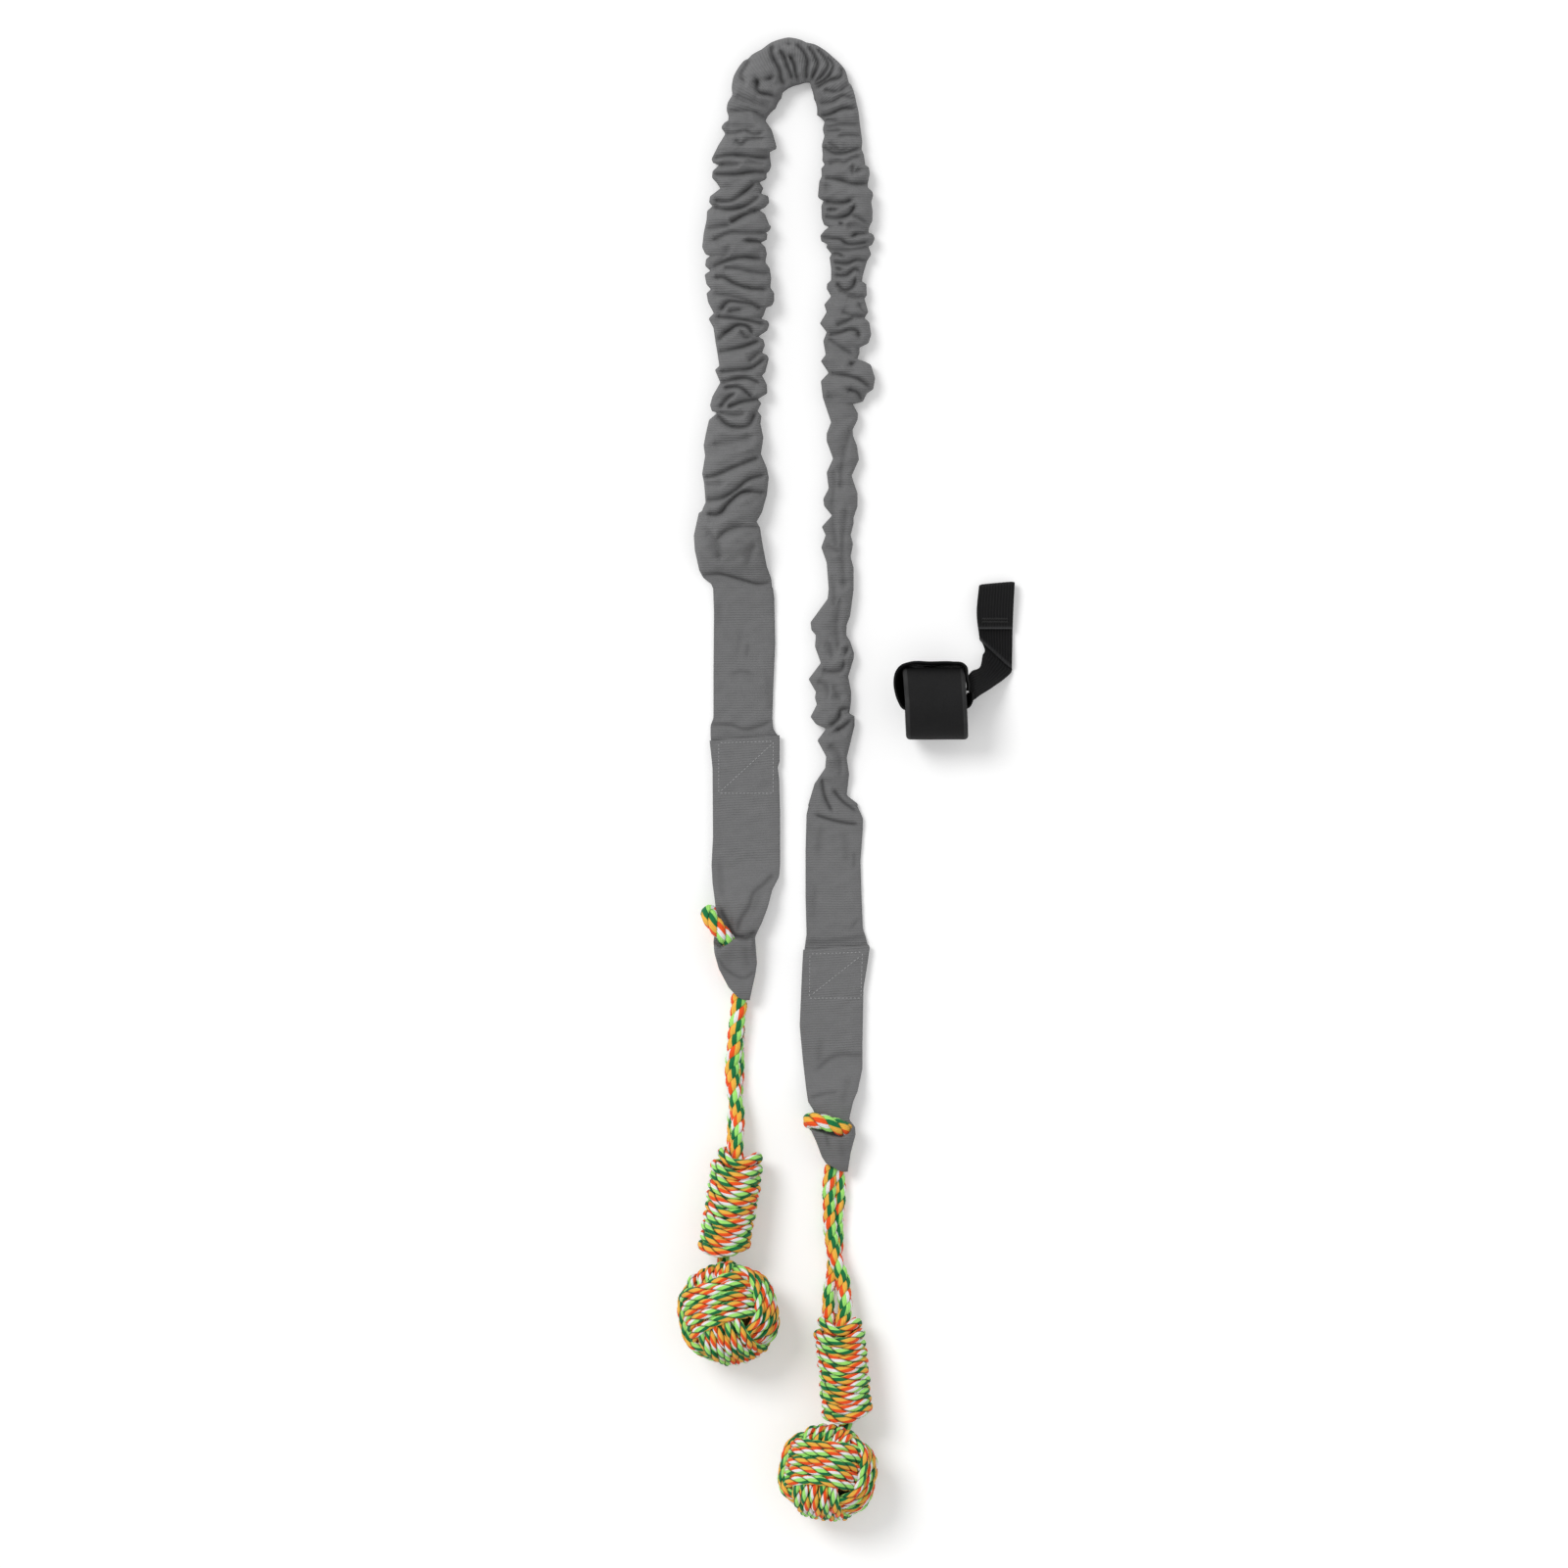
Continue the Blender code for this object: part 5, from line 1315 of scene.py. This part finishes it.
RIGHT["top_folds"] = [
    ([[(833.5, 1092.5), (849.5, 1079), (880.5, 1076.5)]], 0.0013, 0.0018),
    ([[(827, 1120.5), (840, 1116.5), (856, 1114)], [(843, 1156.5), (846, 1171.5)]], 0.0012,
     0.0014),
    ([[(826, 1140), (840, 1145), (855, 1149), (868, 1153)]], 0.003, 0.0022),
    ([[(838, 1060), (836, 1085)], [(866, 1100), (860, 1128)], [(858, 1160), (860, 1182)]], 0.0007,
     0.0026),
]
LEFT["flap"] = (
    [(727, 960), (731, 963), (736, 966.5), (742, 963), (749, 958), (758, 956.5), (772, 952)],
    0.008,
    0.014,
)
RIGHT["flap"] = (
    [(827, 1151), (840, 1155), (852, 1158.5), (859, 1159.5), (866, 1155), (870, 1150),
     (874, 1146)],
    0.0075,
    0.013,
)
LEFT["cut_edge"], RIGHT["cut_edge"] = (756.2, 750.6), (969.5, 964.5)
LEFT["tip_step"], RIGHT["tip_step"] = 1021.0, 1196.0

# %% [markdown]
# Both layers are made by one function. Their height grows flatter away from the gathers, and at
# the tip they sink towards each other. The upper layer's cut edge may slant, so its first rings do
# too.

# %% Strap layers
STRAP_RING_STEP, LAYER_HEIGHT, FLAT_BULGE = 0.0009, 0.0036, 0.0007
EASE_REACH, NOSE_REACH = 0.024, 0.006


def slanted_rows(edges, firsts, last):
    """Rows between two edges: the first may slant, and the last lies straight across."""
    count = round((last - firsts[1]) * STEP / STRAP_RING_STEP)
    ends = []
    for edge, first in zip(edges, firsts):
        downs = np.linspace(first, last, count + 1)
        ends.append(np.stack([along_edge(edge, downs, 0.8), downs], axis=1))
    return ends


def strap_lifts(side, rows):
    """How far the strap's underside stands over the floor at each row."""
    low, high = side["rise"]
    y = (MIDDLE[1] - rows[0][:, 1]) * STEP
    along = (side["strap_y"] - y) / side["strap_length"]
    return smooth_share((along - low) / (high - low)) * STRAP_LIFT


def strap_layer_mesh(side, label, edges, firsts, folds, above, start_height, flap=None):
    """One layer: the lower one eases out of the sleeve, the upper one lies `above` it."""
    lower = label == "lower"
    name = f"{side['name']}_strap_{label}"
    rows = slanted_rows(edges, firsts, side["tip_step"] - (0.8 if lower else 0))
    gone = np.arange(len(rows[0])) * STRAP_RING_STEP
    ease = smooth_share(gone / EASE_REACH)
    squareness = 2.4 + 3.6 * ease if lower else np.full(len(gone), 6.0)
    nose = np.clip((gone[-1] - gone) / NOSE_REACH, 0, 1) ** 0.5
    heights = (start_height + (LAYER_HEIGHT - start_height) * ease) * (0.45 + 0.55 * nose)
    lifts = strap_lifts(side, rows) + above * (0.35 + 0.65 * nose)
    lifts = lifts + (0.0012 if lower else 0) * (1 - nose)
    bulge = FLAT_BULGE + (BULGE - FLAT_BULGE) * (1 - ease) if lower else FLAT_BULGE
    made = sleeve_mesh(name, rows[0], rows[1], heights, 5, lifts, squareness, folds, bulge, flap)
    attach(made, f"{side['name']}_strap")
    return made


for side in (LEFT, RIGHT):
    name = side["name"]
    lower = strap_layer_mesh(side, "lower", side["low_edges"], (side["strap_start"],) * 2,
                             FOLD_DEPTHS + side["low_folds"], 0.0, LEG_END_HEIGHT)
    upper = strap_layer_mesh(side, "upper", side["top_edges"], side["cut_edge"], side["top_folds"],
                             0.0033, 0.0034, side["flap"])
    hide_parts(f"{name}_strap")
    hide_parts(f"{name}_strap_fold_back")
    side["upper"] = upper

# %% [markdown]
# The two layers are held by a stitched box with a diagonal. Each stitch is a short, round bit of
# pale thread, sunk a little into the tape. Its place is found by looking straight down on the
# upper layer.

# %% Box stitching
LEFT["seams"] = [
    [(735, 758.5), (789, 757)], [(789.5, 757), (789.5, 809.5)], [(789, 810), (735, 810)],
    [(734, 809.5), (734, 759)], [(788, 760), (736, 808)],
]
RIGHT["seams"] = [
    [(828, 974), (880, 972)], [(880.5, 973), (879, 1018)], [(879, 1019), (826, 1019)],
    [(826.5, 1018), (827, 975)], [(877.5, 977), (829.5, 1015)],
]
STITCH_LONG, STITCH_EVERY, STITCH_THICK = 0.0018, 0.0027, 0.00080
STITCH_PROFILE = [(-1.0, 0.15), (-0.72, 0.8), (0, 1.0), (0.72, 0.8), (1.0, 0.15)]
STITCH_SIDES, STITCH_RAISED = 6, 0.00006


def thread_finish():
    made, tree, shader = plain_shader("Thread", (0.27, 0.27, 0.275, 1), 0.6)
    _, around, along = cloth_places(tree)
    twist = sums(tree, "MULTIPLY_ADD", along, 1500.0, around)
    ply = sums(tree, "SINE", sums(tree, "MULTIPLY", twist, 2 * math.pi))
    ramp = mixed(tree, eased(tree, ply, -1.0, 1.0), (0.22, 0.22, 0.225, 1), (0.42, 0.42, 0.425, 1))
    tree.links.new(ramp, shader.inputs["Base Color"])
    return made


THREAD = thread_finish()


def drop_onto(piece, place):
    """The place on a piece right below another, or None."""
    hit, point, _, _ = piece.ray_cast(Vector((place.x, place.y, 0.2)), Vector((0, 0, -1)))
    return point if hit else None


def stitched_rows(name, piece, seams, finish):
    """Stitches along each seam, from its start to its end, as one piece."""
    points, faces, places = [], [], []
    up = Vector((0, 0, 1))
    around = [k / STITCH_SIDES for k in range(STITCH_SIDES + 1)]
    gone = [ring * STITCH_LONG / 4 for ring in range(len(STITCH_PROFILE))]
    for start, end in seams:
        start, end = spot(*start), spot(*end)
        count = max(1, round((end - start).length / STITCH_EVERY))
        way = (end - start).normalized()
        beside = Vector((-way.y, way.x, 0))
        for index in range(count):
            middle = start + (end - start) * (index + 0.5) / count
            point = drop_onto(piece, middle)
            if point is None:
                continue
            new_faces, new_places = tube_faces(around, gone, 0, len(points))
            faces += new_faces
            places += new_places
            for along, thick in STITCH_PROFILE:
                ring = point + way * (along * STITCH_LONG / 2) + up * STITCH_RAISED
                for k in range(STITCH_SIDES):
                    turn = 2 * math.pi * k / STITCH_SIDES
                    out = beside * math.cos(turn) + up * math.sin(turn)
                    points.append(ring + out * (STITCH_THICK / 2 * thick))
    made = mesh_piece(name, points, faces, places, [finish])
    close_piece(made, flat_ends=False)
    print(name, "has", len(points) // (len(gone) * STITCH_SIDES), "stitches")
    return made


for side in (LEFT, RIGHT):
    name = side["name"]
    stitches = stitched_rows(f"{name}_box_stitches", side["upper"], side["seams"], THREAD)
    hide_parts(f"{name}_box_stitching")
    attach(stitches, f"{name}_strap")

# %% [markdown]
# ## The door anchor
# It is a short roll of dense black foam on a loop of black webbing. The loop's tail comes out
# flat, is folded over once, and ends in a sewn eye. Foam is turned as a lathe profile with soft
# rims and then pushed a little out of true. Webbing is a ribbon between two edge lines, which can
# lean and twist.

# %% Black finishes


def foam_finish():
    """Dense foam: a dull skin with fine pores, and slightly paler round its rims."""
    made, tree, shader = plain_shader("Black foam", (0.012, 0.012, 0.0125, 1), 0.78)
    where = tree.nodes.new("ShaderNodeTexCoord")
    pores = tree.nodes.new("ShaderNodeTexVoronoi")
    pores.inputs["Scale"].default_value = 1300.0
    tree.links.new(where.outputs["Object"], pores.inputs["Vector"])
    mottle = noise_at(tree, where.outputs["Object"], 90.0, 4.0)
    share = sums(tree, "MULTIPLY_ADD", eased(tree, pores.outputs["Distance"], 0.1, 0.6), 0.35,
                 sums(tree, "MULTIPLY", mottle, 0.6))
    colour = mixed(tree, share, (0.0055, 0.0055, 0.0058, 1), (0.0130, 0.0130, 0.0134, 1))
    rim_paling = sums(tree, "MULTIPLY", mesh_number(tree, "rim"), sums(tree, "ADD", mottle, 0.1))
    colour = mixed(tree, rim_paling, colour, (0.045, 0.045, 0.046, 1))
    tree.links.new(colour, shader.inputs["Base Color"])
    bumped(tree, shader, share, 0.0004, 0.7)
    shader.inputs["Specular IOR Level"].default_value = 0.22
    return made


def webbing_finish():
    """Woven nylon: fine ribs along the band, crossed by its weft, with a faint shine."""
    made, tree, shader = plain_shader("Black webbing", (0.008, 0.008, 0.0085, 1), 0.58)
    _, across, along = cloth_places(tree)
    ribs = sums(tree, "SINE", sums(tree, "MULTIPLY", across, 2 * math.pi / 0.0021))
    lean = sums(tree, "ADD", across, along)
    weft = sums(tree, "SINE", sums(tree, "MULTIPLY", lean, 2 * math.pi / 0.0008))
    weave = sums(tree, "MULTIPLY_ADD", weft, 0.35, ribs)
    colour = mixed(tree, eased(tree, weave, -1.3, 1.3), (0.0015, 0.0015, 0.0018, 1),
                   (0.0085, 0.0085, 0.009, 1))
    bumped(tree, shader, weave, 0.00025, 0.8)
    # Paler by the mesh's `rim` number: partly wear, partly a painted highlight on the eye's fold
    # line and cut edge.
    rim_paling = mixed(tree, mesh_number(tree, "rim"), colour, (0.085, 0.085, 0.088, 1))
    tree.links.new(rim_paling, shader.inputs["Base Color"])
    shader.inputs["Specular IOR Level"].default_value = 0.2
    return made


BLACK_FOAM, BLACK_WEBBING = foam_finish(), webbing_finish()

# %% [markdown]
# The roll lies on its side, so its axis runs across the picture. Its profile goes out along one
# face, over a soft rim, along the skin, and back through the bore.

# %% Foam roll
FOAM_CENTRE = Vector((0.0615, 0.0513, 0.0250))
FOAM_RADIUS, FOAM_BORE_RADIUS, FOAM_HALF = 0.0250, 0.0130, 0.0213
FOAM_SIDES, FOAM_LEAN, FOAM_DENTS = 112, 0.055, 0.006


def foam_profile(rim=0.0028, mouth=0.0016, steps=8):
    """Places along the axis and out from it, round the roll's section, and how pale each rim is.
    """
    rows = []
    for side in (-1, 1):
        turns = [math.pi / 2 * k / steps for k in range(steps + 1)]
        outer = [(side * (FOAM_HALF - rim + rim * math.cos(t)),
                  FOAM_RADIUS - rim + rim * math.sin(t), 1.0) for t in turns]
        inner = [(side * (FOAM_HALF - mouth + mouth * math.sin(t)),
                  FOAM_BORE_RADIUS + mouth - mouth * math.cos(t), 0.6) for t in turns]
        flat = FOAM_RADIUS - rim - FOAM_BORE_RADIUS - mouth
        face = [(side * FOAM_HALF, FOAM_BORE_RADIUS + mouth + flat * k / 7, 0.1)
                for k in range(1, 7)]
        rows.append(inner + face + outer)
    skin = [(FOAM_HALF * (k / 14 - 1), FOAM_RADIUS, 0.0) for k in range(2, 27)]
    bore = [(-FOAM_HALF * (k / 7 - 1), FOAM_BORE_RADIUS, 0.0) for k in range(1, 14)]
    return rows[0] + skin + rows[1][::-1] + bore


def foam_roll():
    profile = foam_profile()
    points, rim_paling = [], []
    for k in range(FOAM_SIDES):
        turn = 2 * math.pi * k / FOAM_SIDES
        for along, out, rim in profile:
            place = Vector((along, math.cos(turn) * out, math.sin(turn) * out))
            place *= 1 + FOAM_DENTS * noise.noise(place * 55 + Vector((3, 1, 7)))
            place.x += -FOAM_LEAN * place.y - (0.02 * abs(place.y) if along < 0 else 0)
            place.z = max(place.z, CLOTH_LOW - FOAM_CENTRE.z)
            points.append(FOAM_CENTRE + place)
            rim_paling.append(rim)
    faces, places, width = [], [], len(profile)
    for k in range(FOAM_SIDES):
        for j in range(width):
            corners = [(k, j), (k, j + 1), (k + 1, j + 1), (k + 1, j)]
            faces.append(tuple((a % FOAM_SIDES) * width + b % width for a, b in corners))
            places += [(a / FOAM_SIDES, b / width) for a, b in corners]
    made = mesh_piece("foam_roll", points, faces, places, [BLACK_FOAM])
    made.data.attributes.new("rim", "FLOAT", "POINT").data.foreach_set("value", rim_paling)
    close_piece(made)
    print("foam roll:", len(faces), "faces")
    return made


roll = foam_roll()
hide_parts("foam_roller")
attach(roll, "anchor_foam")

# %% [markdown]
# The loop goes through the roll and round behind it. Seen from above the band stands on its edge,
# but it leans inwards, so hardly any light shows between it and the roll.

# %% Webbing ribbons
WEBBING_WIDTH, WEBBING_THICK = 0.0245, 0.0022
RIBBON_STEP, ACROSS_STEPS = 0.0011, 18
RIBBON_SIDES = 2 * ACROSS_STEPS


def ribbon(name, first_edge, second_edge):
    """A flat band between two edge lines, with rounded selvedges."""
    rows = [tuple(a) + tuple(b) for a, b in zip(first_edge, second_edge)]
    both = even_line(rows, RIBBON_STEP * math.sqrt(2))
    left, right = both[:, :3], both[:, 3:]
    middle, half = (left + right) / 2, (right - left) / 2
    way = unit(np.gradient(middle, axis=0))
    facing = unit(np.cross(half, way))
    shares = np.sin(np.linspace(-1, 1, ACROSS_STEPS + 1) * math.pi / 2)
    thick = WEBBING_THICK / 2 * (1 - np.abs(shares) ** 8) ** 0.5
    back = zip(shares[-2:0:-1], -thick[-2:0:-1])
    loop = [*zip(shares, thick), *back]
    points = [
        middle[r] + half[r] * share + facing[r] * rise
        for r in range(len(middle)) for share, rise in loop
    ]
    size = float(np.linalg.norm(half, axis=1).mean())
    around = [share * size for share, _ in loop + loop[:1]]
    faces, places = tube_faces(around, lengths_along(middle), 0)
    made = mesh_piece(name, points, faces, places, [BLACK_WEBBING])
    close_piece(made)
    print(name, "has", len(faces), "faces")
    return made


def on_webbing(x, y, z=0.0):
    """Places in webbing widths from the roll's centre on the floor, as in the CAD model."""
    return Vector((FOAM_CENTRE.x, FOAM_CENTRE.y, 0)) + Vector((x, y, z)) * WEBBING_WIDTH


LOOP = [
    (1.04, 0.3, 0.12), (1.04, 0.12, 0.18), (0.97, -0.06, 0.2), (0.78, -0.17, 0.1),
    (0.45, -0.16, 0), (-0.14, -0.14, 0), (-0.66, -0.17, 0.03), (-0.92, -0.14, 0.14),
    (-1.05, 0.05, 0.2), (-1.14, 0.3, 0.26), (-1.18, 0.6, 0.28), (-1.12, 0.9, 0.24),
    (-1.0, 1.05, 0.18), (-0.74, 1.15, 0.15), (-0.14, 1.16, 0.14), (0.47, 1.16, 0.13),
    (0.78, 1.11, 0.1), (0.86, 1.01, 0.03), (0.875, 0.84, 0), (0.885, 0.66, 0), (0.915, 0.54, 0),
    (0.905, 0.36, 0),
]


def webbing_loop():
    """The band's upper edge follows LOOP, and its lower edge leans inwards by each row's share."""
    low, high = [], []
    for x, y, lean in LOOP:
        toward = Vector((-x, 0.35 - y)).normalized() * lean
        low.append(on_webbing(x + toward.x, y + toward.y, 0.54))
        high.append(on_webbing(x, y, 1.50))
    return ribbon("webbing_loop", low, high)


def webbing_tail():
    first = [(0.93, 0.80, 0.66), (1.04, 0.93, 0.60), (1.16, 0.97, 0.52), (1.26, 1.04, 0.44),
             (1.31, 1.20, 0.34), (1.34, 1.38, 0.22), (1.40, 1.53, 0.11), (1.28, 1.84, 0.055)]
    second = [(0.95, 0.02, 1.38), (1.12, 0.13, 1.30), (1.27, 0.24, 1.12), (1.50, 0.38, 0.85),
              (1.72, 0.53, 0.55), (1.93, 0.68, 0.28), (2.14, 0.87, 0.10), (2.18, 0.98, 0.055)]
    edges = ([on_webbing(*place) for place in edge] for edge in (first, second))
    return ribbon("webbing_tail", *edges)


EYE_UP = [
    (0.0, 0.06), (0.03, 0.17), (0.12, 0.17), (0.3, 0.14), (0.5, 0.12), (0.7, 0.115), (0.87, 0.12),
    (0.965, 0.15), (1.0, 0.22),
]
EYE_BACK = [
    (0.965, 0.3), (0.87, 0.335), (0.7, 0.33), (0.5, 0.31), (0.3, 0.285), (0.12, 0.26), (0.0, 0.25),
]
CUT_EDGE_Y = 2.12
EYE_EDGES = (
    ((1.85, 1.25), (2.55, 1.17), (3.34, 1.235)), ((0.99, 2.17), (2.45, 2.20), (3.43, 2.25)),
)


def webbing_eye():
    """From the fold line up to the eye's top, and back over itself to the cut edge."""
    edges = []
    for rows in EYE_EDGES:
        edge = []
        for route, low in ((EYE_UP, rows[0][0]), (EYE_BACK, CUT_EDGE_Y)):
            for share, height in route:
                y = low + (rows[-1][0] - low) * share
                edge.append(on_webbing(row_at(rows, y)[0], y, height))
        edges.append(edge)
    made = ribbon("webbing_eye", edges[0], edges[1])
    # The `rim` number is partly wear, partly painted highlight: it peaks two rings from the fold
    # line, where the crease catches light, and rises at the cut edge.
    rim = made.data.attributes.new("rim", "FLOAT", "POINT")
    rings = len(made.data.vertices) // RIBBON_SIDES
    near = [min(abs(ring - 2.0) / 2.0, (rings - 1 - ring) / 1.5) for ring in range(rings)]
    highlight_and_wear = 1 - np.clip(near, 0, 1)
    rim.data.foreach_set("value", np.repeat(highlight_and_wear, RIBBON_SIDES).astype(np.float32) * 0.8)
    return made


loop, tail, eye = webbing_loop(), webbing_tail(), webbing_eye()
for piece, node, body in (
    (loop, "anchor_webbing_loop", "door_anchor"), (tail, "anchor_tail", "door_anchor"),
    (eye, "anchor_tail_eye", "anchor_eye"),
):
    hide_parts(node)
    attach(piece, body)

# %% [markdown]
# A zigzag of black thread, the bar tack, holds the eye's folded end down.

# %% Bar tack
TACK_PITCH, TACK_START, TACK_ROWS = 2.4, 1002.5, (633.5, 630.5)
BLACK_THREAD = thread_finish()
BLACK_THREAD.name = "Black thread"
for node in BLACK_THREAD.node_tree.nodes:
    if node.type == "MIX":
        for socket, shade in zip([s for s in node.inputs if s.type == "RGBA"], (0.004, 0.012)):
            socket.default_value = (shade, shade, shade, 1)


def bar_tack():
    seams = []
    for top in TACK_ROWS:
        for k in range(11):
            near, far = TACK_START + TACK_PITCH * k, TACK_START + TACK_PITCH * (k + 0.5)
            seams.append([(near, top + 3), (far, top)])
            seams.append([(far, top), (near + TACK_PITCH, top + 3)])
    return stitched_rows("eye_bar_tack", eye, seams, BLACK_THREAD)


tack = bar_tack()
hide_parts("anchor_bar_tack")
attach(tack, "anchor_eye")
